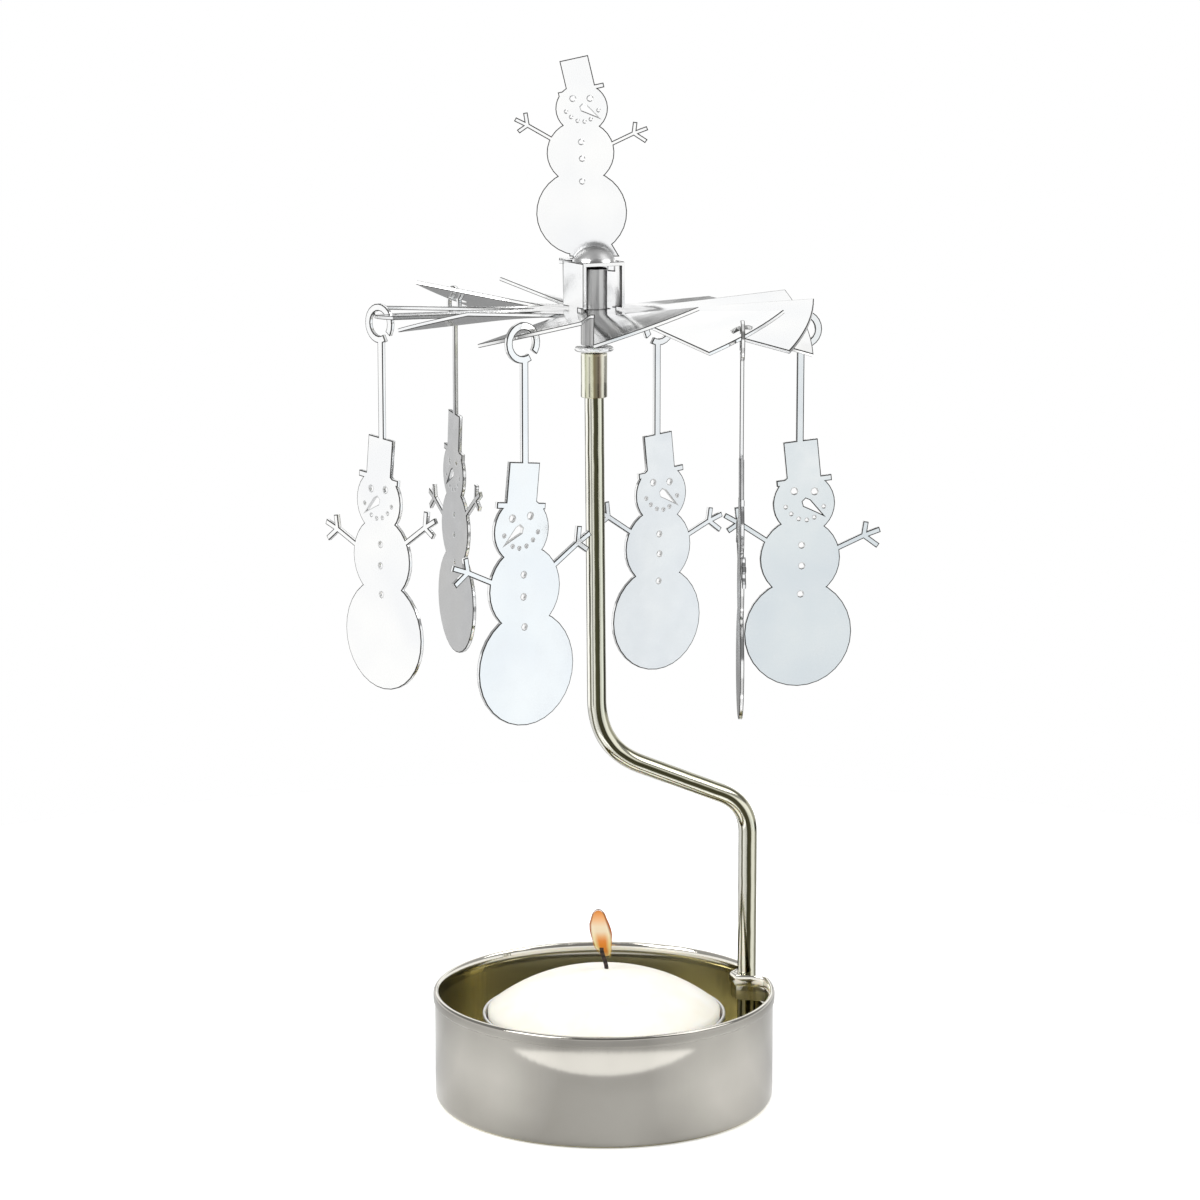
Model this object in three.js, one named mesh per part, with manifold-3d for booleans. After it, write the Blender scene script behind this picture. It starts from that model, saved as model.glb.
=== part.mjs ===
// Rotating candle holder: a tealight in a low round cup, and over it a bladed wheel with hanging
// snowman figures that the warm air turns. Millimetres, +Z up, origin at the middle of the cup's base.
import * as THREE from 'three';
import { mergeVertices } from 'three/addons/utils/BufferGeometryUtils.js';
import Module from 'manifold-3d';

const wasm = await Module();
wasm.setup();

// Clearance left between pieces that touch on the real object.
const seatGap = 0.3;

// Cup: drawn from thin sheet, with the rim folded over into a hem.
const cupRadius = 27.1;
const cupHeight = 18.1;
const cupSheet = 0.5;
const cupCornerRadius = 1.4;
const hemHeight = 1.75;
const hemThickness = 1.1;
const hemStandOut = 0.25;

// Loop: a length of the cup's rim pushed inwards, which holds the rod against the wall.
const loopAzimuth = 20.6;
const loopShoulder = 2.7;
const loopFlatHalfWidth = 1.2;
const loopBandHeight = 4.1;
const loopSlitHeight = 0.6;

// Rod: one bent wire from the cup floor to the middle of the wheel.
const rodRadius = 1.5;
const rodLowerElbowHeight = 46.3;
const rodUpperElbowHeight = 57.3;
const rodUpperElbowX = -1.1;
const rodTopHeight = 117.0;
const rodLowerBend = 5.0;
const rodUpperBend = 8.0;

// Spindle: the crimped sleeve on the rod, the collar on it and the pin with its point.
const spinAxisX = -1.57;
const sleeveFit = 0.25;
const sleeveWall = 0.3;
const sleeveOverRod = 3.8;
const sleevePastRod = 3.2;
const stackGap = 0.2;
const collarStandOut = 1.0;
const collarThickness = 0.8;
const pinTailRadius = 1.0;
const pinNeckHeight = 1.0;
const pinNeedleRadius = 0.5;

// Wheel: one flat stamping, twelve blades twisted out of it.
const bladeCount = 12;
const bladeGapAngle = 3;
const wheelRadius = 34.0;
const wheelSheet = 0.6;
const wheelAboveCollar = 5.5;
const wheelHubRadius = 9.4;
const wheelBoreGap = 0.4;
const charmHoleRadius = 1.5;
const charmHoleFromTip = 2.0;
// How each blade was bent, going anticlockwise from +X: the rise of its leading edge at the tip
// (its trailing edge falls as far), then how far the whole tip stands above the flat sheet.
const bladeBends = [
  { rise: 4.3, lift: -2.7 },
  { rise: 1.2, lift: -1.9 },
  { rise: 1.5, lift: -5.0 },
  { rise: 2.1, lift: 0.1 },
  { rise: 3.0, lift: -0.3 },
  { rise: 0.8, lift: -0.5 },
  { rise: 0.6, lift: -0.2 },
  { rise: 1.8, lift: 0.5 },
  { rise: 1.9, lift: -0.4 },
  { rise: 2.6, lift: 0.7 },
  { rise: 2.6, lift: -0.9 },
  { rise: 3.2, lift: -1.4 },
];

// Bridge: a folded strap over the spindle, with a pressed dimple that rides on the point.
const bridgeTurn = 26;
const bridgeSheet = 0.6;
const bridgeSideGap = 0.95;
const bridgeWidth = 7.2;
const bridgeAboveWheel = 7.7;
const bridgeTongueWidth = 3.2;
const bridgeTongueDrop = 0.8;
const tongueSideGap = 0.25;
const dimpleFromEdge = 0.2;
const dimpleHeight = 2.3;
const dimpleJoin = 0.15;
const lugWidth = 7.6;
const lugPastSlot = 1.3;

// Figures: one flat stamping each, sizes of the hanging ones.
const figureSheet = 0.6;
const ringBore = 1.95;
const ringBand = 1.1;
const ringDrop = 1.2;
const ringStandOffLeast = 1.7;
const ringTipGap = 0.15;
const ringGapAngle = 24;
const ringGapFromStem = 30;
const stemWidth = 1.15;
const stemMiddleX = -0.3;
const hatTopDrop = 17.6;
const stemIntoHat = 1.0;
// How far each hanging figure is swivelled from the wheel's radius, blade by blade.
const charmSwivels = [5, 40, 22, 58, 36, 43.5];
// Scales of the drawn figure: the hanging ones, then the standing one's width and height.
const charmScale = 1.01;
const topWidthScale = 0.82;
const topHeightScale = 0.78;
const topFigureHatTilt = 10.5;
const topFigureLean = 2.3;
const topLeanHeight = 6.8;
const charmHatTilt = 6;
// The standing figure's place from the spin axis, to the side and behind, and how it is held.
const topFigureAcross = -1.63;
const topFigureDepth = 4.6;
const topTabLeft = 2.2;
const topTabRight = 5.6;
const topTabHeight = 2.5;
const topTabSlant = 1.5;
const topTabShow = 0.1;
const topTongueWidth = 3.4;
const topTongueDrop = 0.3;

// Tealight: thin can, domed wax, wick in its foot.
const canRadius = 19.5;
const canSheet = 0.3;
const canHeight = 13.4;
const canCorner = 0.8;
const canLipWidth = 0.3;
const canLipHeight = 0.9;
const canLipRound = 0.15;
const waxAboveLip = 0.5;
const waxFootBevel = 0.4;
const waxDome = 6.0;
const waxDomePower = 2.4;
const wickX = 0.4;
const wickRadius = 0.35;
const wickBoreGap = 0.25;
const wickStraight = 1.2;
const wickBend = 1.0;
const wickHump = 0.5;
const wickHumpSpread = 2.2;
const wickStandsOut = 3.4;
const wickLean = -0.8;
const wickFootRadius = 6.0;
const wickFootSheet = 0.3;
const wickNeckRadius = 1.3;
const wickNeckHeight = 2.6;

const degrees = Math.PI / 180;
// How far a cutting body runs past the faces it cuts through.
const cutMargin = 1.0;

const flatTurn = (angle) => new THREE.Matrix4().makeRotationZ(angle * degrees);

// Signed volume, negative where the faces look inwards.
function signedVolume(points, faces) {
  let total = 0;
  for (let i = 0; i < faces.length; i += 3) {
    const corners = [0, 1, 2].map((j) => new THREE.Vector3().fromArray(points, faces[i + j] * 3));
    total += corners[0].dot(corners[1].cross(corners[2])) / 6;
  }
  return total;
}

function toBody(geometry) {
  const bare = geometry.clone();
  bare.deleteAttribute('normal');
  bare.deleteAttribute('uv');
  const joined = mergeVertices(bare, 1e-4);
  const points = new Float32Array(joined.attributes.position.array);
  const faces = new Uint32Array(joined.index.array);
  if (signedVolume(points, faces) < 0) {
    for (let i = 0; i < faces.length; i += 3) {
      [faces[i + 1], faces[i + 2]] = [faces[i + 2], faces[i + 1]];
    }
  }
  return new wasm.Manifold(new wasm.Mesh({ numProp: 3, vertProperties: points, triVerts: faces }));
}

function toGeometry(body) {
  const mesh = body.getMesh();
  const geometry = new THREE.BufferGeometry();
  geometry.setAttribute('position', new THREE.BufferAttribute(new Float32Array(mesh.vertProperties), 3));
  geometry.setIndex(new THREE.BufferAttribute(new Uint32Array(mesh.triVerts), 1));
  geometry.computeVertexNormals();
  return geometry;
}

const joinAll = (bodies) => bodies.reduce((whole, body) => whole.add(body));

// Upright cylinder between two heights.
function post(radius, bottom, top, segments = 32) {
  const geometry = new THREE.CylinderGeometry(radius, radius, top - bottom, segments);
  geometry.rotateX(Math.PI / 2);
  return geometry.translate(0, 0, (top + bottom) / 2);
}

// Body turned about Z from a profile of [radius, height] pairs.
function turned(profile, segments) {
  const points = profile.map(([radius, height]) => new THREE.Vector2(radius, height));
  return new THREE.LatheGeometry(points, segments).rotateX(Math.PI / 2);
}

// Quarter or half circle of profile points.
function arcPoints(centreRadius, centreHeight, radius, fromAngle, toAngle, steps) {
  const points = [];
  for (let i = 0; i <= steps; i += 1) {
    const angle = (fromAngle + ((toAngle - fromAngle) * i) / steps) * degrees;
    points.push([centreRadius + radius * Math.cos(angle), centreHeight + radius * Math.sin(angle)]);
  }
  return points;
}

// Plate standing on a flat outline of [x, y] pairs.
function plate(outline, bottom, top) {
  const shape = new THREE.Shape(outline.map(([x, y]) => new THREE.Vector2(x, y)));
  const geometry = new THREE.ExtrudeGeometry(shape, { depth: top - bottom, bevelEnabled: false });
  return geometry.translate(0, 0, bottom);
}

function block(width, depth, bottom, top) {
  const geometry = new THREE.BoxGeometry(width, depth, top - bottom);
  return geometry.translate(0, 0, (top + bottom) / 2);
}

// Round wire along a path of straight runs with rounded corners.
function wire(corners, bends, radius, steps, sides) {
  const path = new THREE.CurvePath();
  let from = corners[0];
  for (let i = 1; i < corners.length - 1; i += 1) {
    const arrive = corners[i].clone().sub(corners[i - 1]).normalize();
    const leave = corners[i + 1].clone().sub(corners[i]).normalize();
    const start = corners[i].clone().addScaledVector(arrive, -bends[i - 1]);
    const end = corners[i].clone().addScaledVector(leave, bends[i - 1]);
    path.add(new THREE.LineCurve3(from, start));
    path.add(new THREE.QuadraticBezierCurve3(start, corners[i], end));
    from = end;
  }
  path.add(new THREE.LineCurve3(from, corners[corners.length - 1]));
  const section = new THREE.Shape();
  for (let i = 0; i < sides; i += 1) {
    const angle = (i / sides) * 2 * Math.PI;
    const corner = [radius * Math.cos(angle), radius * Math.sin(angle)];
    if (i === 0) section.moveTo(...corner);
    else section.lineTo(...corner);
  }
  section.closePath();
  return new THREE.ExtrudeGeometry(section, { steps, extrudePath: path, bevelEnabled: false });
}

const smooth = (t) => t * t * (3 - 2 * t);

const parts = [];

function addPart(name, body, look) {
  const mesh = new THREE.Mesh(toGeometry(body), new THREE.MeshStandardMaterial(look));
  mesh.name = name;
  parts.push(mesh);
}

const chrome = { color: 0xd5d6d6, roughness: 0.16, metalness: 1.0 };
const nickel = { color: 0xb9b7ac, roughness: 0.22, metalness: 1.0 };
const aluminium = { color: 0xd9dadb, roughness: 0.34, metalness: 1.0 };

const hemOuterRadius = cupRadius + hemStandOut;
const hemInnerRadius = hemOuterRadius - hemThickness;
const hemBottom = cupHeight - hemHeight;
const hemCrown = hemThickness / 2;

const cupProfile = [
  [0, 0],
  ...arcPoints(cupRadius - cupCornerRadius, cupCornerRadius, cupCornerRadius, -90, 0, 5),
  [cupRadius, hemBottom],
  [hemOuterRadius, hemBottom],
  ...arcPoints(hemOuterRadius - hemCrown, cupHeight - hemCrown, hemCrown, 0, 180, 6),
  [hemInnerRadius, hemBottom],
  [cupRadius - cupSheet, hemBottom],
  ...arcPoints(cupRadius - cupCornerRadius, cupCornerRadius, cupCornerRadius - cupSheet, 0, -90, 4),
  [0, cupSheet],
];
const cupWall = toBody(turned(cupProfile, 56));

// The loop runs in from the wall, past the inside of the rod and out to the wall again.
const loopHalfWidth = rodRadius + loopShoulder;
const loopPush = rodRadius * 2 + seatGap * 2 + cupSheet;
const loopSteps = 14;
function loopPath() {
  const path = [];
  const halfAngle = loopHalfWidth / cupRadius;
  // The path starts and ends inside the wall, past the window cut for it.
  const overlap = 1.2;
  for (let i = 0; i <= loopSteps; i += 1) {
    const across = ((2 * i) / loopSteps - 1) * overlap;
    const along = Math.abs(across) * loopHalfWidth;
    const climb = (along - loopFlatHalfWidth) / (loopHalfWidth - loopFlatHalfWidth);
    const radius = cupRadius - loopPush * (1 - smooth(THREE.MathUtils.clamp(climb, 0, 1)));
    const angle = across * halfAngle;
    path.push([radius * Math.cos(angle), radius * Math.sin(angle)]);
  }
  return path;
}

// Outline between the loop's path and the same path moved in by the thickness.
function loopBand(thickness) {
  const outer = loopPath();
  const inner = outer.map(([x, y], i) => {
    const before = outer[Math.max(i - 1, 0)];
    const after = outer[Math.min(i + 1, loopSteps)];
    const alongX = after[0] - before[0];
    const alongY = after[1] - before[1];
    const shift = thickness / Math.hypot(alongX, alongY);
    return [x - shift * alongY, y + shift * alongX];
  });
  return [...outer, ...inner.reverse()];
}

const loopBottom = cupHeight - loopBandHeight;
const windowSlope = loopHalfWidth / cupRadius;
const windowInside = cupRadius - loopPush - hemThickness;
const windowOutside = cupRadius + hemStandOut + cutMargin;
const loopWindow = plate(
  [
    [windowInside, -windowInside * windowSlope],
    [windowOutside, -windowOutside * windowSlope],
    [windowOutside, windowOutside * windowSlope],
    [windowInside, windowInside * windowSlope],
  ],
  loopBottom - loopSlitHeight,
  cupHeight + cutMargin,
);
const loopBody = toBody(plate(loopBand(cupSheet), loopBottom, cupHeight - seatGap))
  .add(toBody(plate(loopBand(hemThickness - hemStandOut), hemBottom, cupHeight - seatGap)));
const cupBody = cupWall
  .subtract(toBody(loopWindow.applyMatrix4(flatTurn(loopAzimuth))))
  .add(loopBody.rotate([0, 0, loopAzimuth]));
addPart('candle_cup', cupBody, { ...nickel, color: 0xc4c2bb });

const rodFootDistance = cupRadius - cupSheet - seatGap - rodRadius;
const rodFootX = rodFootDistance * Math.cos(loopAzimuth * degrees);
const rodFootY = rodFootDistance * Math.sin(loopAzimuth * degrees);
const rodFoot = cupSheet + seatGap;
const rodCorners = [
  new THREE.Vector3(rodFootX, rodFootY, rodFoot),
  new THREE.Vector3(rodFootX, rodFootY, rodLowerElbowHeight),
  new THREE.Vector3(rodUpperElbowX, 0, rodUpperElbowHeight),
  new THREE.Vector3(spinAxisX, 0, rodTopHeight),
];
addPart('stand_rod', toBody(wire(rodCorners, [rodLowerBend, rodUpperBend], rodRadius, 70, 16)), nickel);

const onAxis = (geometry) => toBody(geometry.translate(spinAxisX, 0, 0));

// The sleeve covers the rod's end and the pin's tail above it, with a narrower bore for the tail.
const sleeveBore = rodRadius + sleeveFit;
const spindleRadius = sleeveBore + sleeveWall;
const sleeveTailBore = pinTailRadius + seatGap;
const sleeveBottom = rodTopHeight - sleeveOverRod;
const sleeveTop = rodTopHeight + sleevePastRod;
const sleeveBody = onAxis(post(spindleRadius, sleeveBottom, sleeveTop))
  .subtract(onAxis(post(sleeveBore, sleeveBottom - cutMargin, rodTopHeight + seatGap)))
  .subtract(onAxis(post(sleeveTailBore, sleeveBottom, sleeveTop + cutMargin)));
addPart('spindle_sleeve', sleeveBody, nickel);

const collarRadius = spindleRadius + collarStandOut;
const collarBottom = sleeveTop + stackGap;
const collarTop = collarBottom + collarThickness;
const collarRound = collarThickness / 2;
const collarProfile = [
  [sleeveTailBore, collarBottom],
  ...arcPoints(collarRadius - collarRound, collarBottom + collarRound, collarRound, -90, 90, 6),
  [sleeveTailBore, collarTop],
  [sleeveTailBore, collarBottom],
];
addPart('spindle_collar', onAxis(turned(collarProfile, 32)), nickel);

// The pin runs on through the wheel and the bridge to its point under the dimple.
const wheelLevel = collarTop + wheelAboveCollar;
const bridgeTop = wheelLevel + bridgeAboveWheel;
const bridgeUnder = bridgeTop - bridgeSheet;
const dimpleTop = bridgeTop + dimpleHeight;
const pinTip = dimpleTop - bridgeSheet - seatGap;
const pinNeckTop = bridgeUnder - stackGap;
const pinBodyTop = pinNeckTop - pinNeckHeight;
const pinBodyBottom = collarTop + stackGap;
const pinProfile = [
  [0, rodTopHeight + 2 * seatGap],
  [pinTailRadius, rodTopHeight + 2 * seatGap],
  [pinTailRadius, pinBodyBottom],
  [spindleRadius, pinBodyBottom],
  [spindleRadius, pinBodyTop],
  [pinNeedleRadius, pinNeckTop],
  [pinNeedleRadius, pinTip - 2 * pinNeedleRadius],
  [0, pinTip],
];
addPart('pivot_pin', onAxis(turned(pinProfile, 28)), nickel);

const bladeStep = 360 / bladeCount;
const bladeAngle = bladeStep - bladeGapAngle;
const charmHoleDistance = wheelRadius - charmHoleFromTip;
const bladeCentre = (index) => index * bladeStep + bladeAngle / 2;

// Height of the sheet's middle above the hub, at a radius and a place across the blade (-0.5 to 0.5).
function bladeLevel(index, radius, across) {
  const reach = Math.max(0, (radius - wheelHubRadius) / (wheelRadius - wheelHubRadius));
  const { rise, lift } = bladeBends[index % bladeBends.length];
  return reach * (lift + 2 * rise * across);
}

function bladeBody(index) {
  const rootRadius = wheelHubRadius - cutMargin;
  const geometry = new THREE.BoxGeometry(1, 1, wheelSheet, 7, 5, 1);
  const position = geometry.attributes.position;
  for (let i = 0; i < position.count; i += 1) {
    const radius = rootRadius + (position.getX(i) + 0.5) * (wheelRadius - rootRadius);
    const across = position.getY(i);
    const angle = (bladeCentre(index) + across * bladeAngle) * degrees;
    const level = wheelLevel + position.getZ(i) + bladeLevel(index, radius, across);
    position.setXYZ(i, radius * Math.cos(angle), radius * Math.sin(angle), level);
  }
  return toBody(geometry);
}

const wheelBottom = wheelLevel - wheelSheet / 2;
const wheelTop = wheelLevel + wheelSheet / 2;
const wheelBoreRadius = spindleRadius + wheelBoreGap;
const bridgeLength = 2 * (spindleRadius + bridgeSideGap + bridgeSheet);
const bridgeLegDistance = (bridgeLength - bridgeSheet) / 2;
const legSides = [-1, 1];
let wheelBody = toBody(post(wheelHubRadius, wheelBottom, wheelTop, 48));
for (let index = 0; index < bladeCount; index += 1) {
  wheelBody = wheelBody.add(bladeBody(index));
}
const wheelBore = post(wheelBoreRadius, wheelBottom - cutMargin, wheelTop + cutMargin);
wheelBody = wheelBody.subtract(toBody(wheelBore));
for (const side of legSides) {
  const slot = block(
    bridgeSheet + 2 * tongueSideGap,
    bridgeTongueWidth + 2 * tongueSideGap,
    wheelBottom - cutMargin,
    wheelTop + cutMargin,
  );
  const placed = slot.translate(side * bridgeLegDistance, 0, 0).applyMatrix4(flatTurn(bridgeTurn));
  wheelBody = wheelBody.subtract(toBody(placed));
}
// Every second blade carries a figure from a hole near its tip.
const charmBlades = [...Array(Math.floor(bladeCount / 2)).keys()].map((i) => 2 * i);
for (const index of charmBlades) {
  const angle = bladeCentre(index) * degrees;
  const level = wheelLevel + bladeLevel(index, charmHoleDistance, 0);
  const cut = wheelSheet + cutMargin;
  const hole = post(charmHoleRadius, level - cut, level + cut, 20);
  hole.translate(charmHoleDistance * Math.cos(angle), charmHoleDistance * Math.sin(angle), 0);
  wheelBody = wheelBody.subtract(toBody(hole));
}
addPart('rotor_wheel', wheelBody.translate([spinAxisX, 0, 0]), chrome);

const legBottom = wheelTop + seatGap;
const dimpleRadius = bridgeLength / 2 - dimpleFromEdge;
const dimpleBall = (dimpleRadius ** 2 + dimpleHeight ** 2) / (2 * dimpleHeight);
const dimpleSpread = Math.asin(dimpleRadius / dimpleBall) / degrees;
const dimpleCentre = dimpleTop - dimpleBall;
const dimpleInnerBall = dimpleBall - bridgeSheet;
const dimpleInnerSpread = Math.acos((bridgeUnder - dimpleCentre) / dimpleInnerBall) / degrees;
const dimpleProfile = [
  ...arcPoints(0, dimpleCentre, dimpleInnerBall, 90, 90 - dimpleInnerSpread, 6),
  [dimpleRadius, bridgeUnder],
  ...arcPoints(0, dimpleCentre, dimpleBall, 90 - dimpleSpread, 90, 7),
];
dimpleProfile[0][0] = 0;
dimpleProfile[dimpleProfile.length - 1][0] = 0;
let bridgeBody = toBody(block(bridgeLength, bridgeWidth, bridgeUnder, bridgeTop));
for (const side of legSides) {
  const leg = block(bridgeSheet, bridgeWidth, legBottom, bridgeTop);
  const tongueBottom = wheelBottom - bridgeTongueDrop;
  const tongue = block(bridgeSheet, bridgeTongueWidth, tongueBottom, legBottom + cutMargin);
  for (const piece of [leg, tongue]) {
    bridgeBody = bridgeBody.add(toBody(piece.translate(side * bridgeLegDistance, 0, 0)));
  }
}
bridgeBody = bridgeBody.rotate([0, 0, bridgeTurn]);
// The lug at the back of the strap's top carries the standing figure in a slot.
const lugReach = topFigureDepth + lugPastSlot;
const lugFront = dimpleRadius / 2;
const lug = block(lugWidth, lugReach - lugFront, bridgeUnder, bridgeTop)
  .translate(topFigureAcross, (lugReach + lugFront) / 2, 0);
const lugSlotWidth = topTongueWidth + 2 * seatGap;
const lugSlotDepth = figureSheet + 2 * seatGap;
const lugSlot = block(lugSlotWidth, lugSlotDepth, bridgeUnder - cutMargin, bridgeTop + cutMargin)
  .translate(topFigureAcross, topFigureDepth, 0);
const dimpleCut = post(dimpleRadius - dimpleJoin, bridgeUnder - cutMargin, bridgeTop + cutMargin);
bridgeBody = bridgeBody
  .add(toBody(lug))
  .subtract(toBody(lugSlot))
  .subtract(toBody(dimpleCut))
  .add(toBody(turned(dimpleProfile, 32)))
  .translate([spinAxisX, 0, 0]);
addPart('pivot_bridge', bridgeBody, chrome);

// Places on the drawn figure, before its scale: across from its middle, and down from its hat's top.
const figureBalls = [
  { across: 0.45, down: 10.0, radius: 4.95 },
  { across: -0.1, down: 18.7, radius: 6.4 },
  { across: -0.35, down: 30.6, radius: 8.6 },
];
const twigWidth = 0.85;
const figureTwigs = [
  [[5.4, 17.4], [10.1, 15.3]],
  [[10.1, 15.3], [10.45, 13.1]],
  [[10.1, 15.3], [12.7, 14.4]],
  [[10.1, 15.3], [12.4, 17.0]],
  [[-5.3, 15.9], [-9.9, 12.9]],
  [[-9.9, 12.9], [-10.2, 10.4]],
  [[-9.9, 12.9], [-12.2, 11.6]],
  [[-9.9, 12.9], [-11.7, 14.1]],
];
const eyeRadius = 0.5;
const buttonRadius = 0.45;
const mouthRadius = 0.25;
const figureDots = [
  { across: -1.15, down: 8.0, radius: eyeRadius },
  { across: 2.1, down: 8.1, radius: eyeRadius },
  { across: 0.1, down: 16.6, radius: buttonRadius },
  { across: 0.15, down: 19.9, radius: buttonRadius },
  { across: 0.0, down: 24.4, radius: buttonRadius },
  { across: -2.5, down: 10.5, radius: mouthRadius },
  { across: -1.6, down: 11.6, radius: mouthRadius },
  { across: -0.4, down: 12.4, radius: mouthRadius },
  { across: 0.9, down: 12.6, radius: mouthRadius },
  { across: 2.1, down: 12.2, radius: mouthRadius },
  { across: 3.6, down: 10.5, radius: mouthRadius },
];
const figureNose = [[0.2, 9.7], [0.7, 9.2], [1.4, 9.5], [3.4, 11.8], [1.3, 10.8], [0.4, 10.4]];
const hatHalfWidth = 2.75;
const hatMiddleX = -0.45;
const hatBandDown = 6.9;
const brimMiddleX = 0.4;
const brimHalfWidth = 4.4;
const brimThickness = 0.95;
const brimDown = 5.9;
const bottomBall = figureBalls[figureBalls.length - 1];
const figureFoot = bottomBall.down + bottomBall.radius;

// Flat pieces are drawn face up and stood upright afterwards: across to x, down to -y.
const faceUp = (outline) => outline.map(([across, down]) => [across, -down]);
const flatPlate = (outline) => toBody(plate(faceUp(outline), -figureSheet / 2, figureSheet / 2));

function disc({ across, down, radius }, segments) {
  const geometry = post(radius, -figureSheet / 2, figureSheet / 2, segments);
  return toBody(geometry.translate(across, -down, 0));
}

function drill({ across, down, radius }, segments) {
  const geometry = post(radius, -figureSheet, figureSheet, segments);
  return toBody(geometry.translate(across, -down, 0));
}

function bar([ax, ad], [bx, bd], width) {
  const length = Math.hypot(bx - ax, bd - ad);
  const sideX = ((bd - ad) / length) * (width / 2);
  const sideD = ((bx - ax) / length) * (width / 2);
  return flatPlate([
    [ax + sideX, ad - sideD],
    [bx + sideX, bd - sideD],
    [bx - sideX, bd + sideD],
    [ax - sideX, ad + sideD],
  ]);
}

function snowman(hatTilt) {
  const hat = flatPlate([
    [hatMiddleX - hatHalfWidth, 0],
    [hatMiddleX + hatHalfWidth, 0],
    [hatMiddleX + hatHalfWidth, hatBandDown],
    [hatMiddleX - hatHalfWidth, hatBandDown],
  ]);
  const brim = flatPlate([
    [hatMiddleX - brimHalfWidth, brimDown],
    [hatMiddleX + brimHalfWidth, brimDown],
    [hatMiddleX + brimHalfWidth, brimDown + brimThickness],
    [hatMiddleX - brimHalfWidth, brimDown + brimThickness],
  ]);
  // The hat tips over about the middle of its brim.
  const tiltedHat = hat.add(brim)
    .translate([-hatMiddleX, brimDown, 0])
    .rotate([0, 0, hatTilt])
    .translate([brimMiddleX, -brimDown, 0]);
  const solid = joinAll([
    ...figureBalls.map((ball) => disc(ball, 32)),
    ...figureTwigs.map(([from, to]) => bar(from, to, twigWidth)),
    tiltedHat,
  ]);
  return figureDots
    .reduce((body, dot) => body.subtract(drill(dot, 8)), solid)
    .subtract(toBody(plate(faceUp(figureNose), -figureSheet, figureSheet)));
}

const standUp = (body) => body.rotate([90, 0, 0]);

// The open ring that hooks into the wheel, with its middle at the origin, and its stem down to the hat.
const ringRadius = ringBore + ringBand;
function hangingFigure() {
  const ring = disc({ across: 0, down: 0, radius: ringRadius }, 24)
    .subtract(drill({ across: 0, down: 0, radius: ringBore }, 20));
  const gapStart = -90 - ringGapFromStem - ringGapAngle;
  const gapReach = ringRadius * 2;
  const gapCorner = (angle) => [gapReach * Math.cos(angle * degrees), gapReach * Math.sin(angle * degrees)];
  const gapOutline = [[0, 0], gapCorner(gapStart), gapCorner(gapStart + ringGapAngle)];
  const gap = toBody(plate(gapOutline, -figureSheet, figureSheet));
  const stemTop = (ringBore + ringRadius) / 2;
  const stem = bar([stemMiddleX, stemTop], [stemMiddleX, hatTopDrop + stemIntoHat], stemWidth);
  const figure = snowman(charmHatTilt)
    .scale([charmScale, charmScale, 1])
    .translate([0, -hatTopDrop, 0]);
  return standUp(ring.subtract(gap).add(stem).add(figure));
}

const charmBody = hangingFigure();
// The ring's band passes through the hole, so the ring's middle stands off from the hole. One that is
// swivelled far stands off more, so that the sheet between the hole and the blade's tip fits in it.
const ringBoreHalf = Math.sqrt(ringBore ** 2 - (ringDrop + wheelSheet / 2) ** 2);
function ringStandOff(swivel) {
  const along = charmHoleDistance * Math.cos(swivel * degrees);
  const tipReach = Math.sqrt(along ** 2 + wheelRadius ** 2 - charmHoleDistance ** 2) - along;
  return Math.max(ringStandOffLeast, tipReach + ringTipGap - ringBoreHalf);
}

charmBlades.forEach((bladeIndex, number) => {
  const bladeTurn = bladeCentre(bladeIndex);
  const swivel = charmSwivels[number % charmSwivels.length];
  const faceTurn = bladeTurn - swivel;
  const holeX = charmHoleDistance * Math.cos(bladeTurn * degrees);
  const holeY = charmHoleDistance * Math.sin(bladeTurn * degrees);
  const ringX = spinAxisX + holeX + ringStandOff(swivel) * Math.cos(faceTurn * degrees);
  const ringY = holeY + ringStandOff(swivel) * Math.sin(faceTurn * degrees);
  const ringZ = wheelLevel + bladeLevel(bladeIndex, charmHoleDistance, 0) - ringDrop;
  const placed = charmBody.rotate([0, 0, faceTurn]).translate([ringX, ringY, ringZ]);
  addPart(`snowman_charm_${number + 1}`, placed, chrome);
});

// Standing figure: smaller, with a tab to stand on and a tongue through the lug, in place of the ring.
const topFigureHeight = figureFoot * topHeightScale + topTabShow;
const topBase = bridgeTop + seatGap;
const tongueDown = topFigureHeight + seatGap + bridgeSheet + topTongueDrop;
const topTab = flatPlate([
  [-topTabLeft, topFigureHeight - topTabHeight],
  [topTabRight - topTabSlant, topFigureHeight - topTabHeight],
  [topTabRight, topFigureHeight],
  [-topTabLeft, topFigureHeight],
]);
const topTongue = flatPlate([
  [-topTongueWidth / 2, topFigureHeight - topTabShow],
  [topTongueWidth / 2, topFigureHeight - topTabShow],
  [topTongueWidth / 2, tongueDown],
  [-topTongueWidth / 2, tongueDown],
]);
const topLeanDown = topFigureHeight - topLeanHeight;
const topFlat = snowman(topFigureHatTilt)
  .scale([topWidthScale, topHeightScale, 1])
  .translate([0, topLeanDown, 0])
  .rotate([0, 0, topFigureLean])
  .translate([0, -topLeanDown, 0])
  .add(topTab)
  .add(topTongue);
const topFigure = standUp(topFlat)
  .translate([spinAxisX + topFigureAcross, topFigureDepth, topBase + topFigureHeight]);
addPart('top_snowman', topFigure, chrome);

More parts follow.
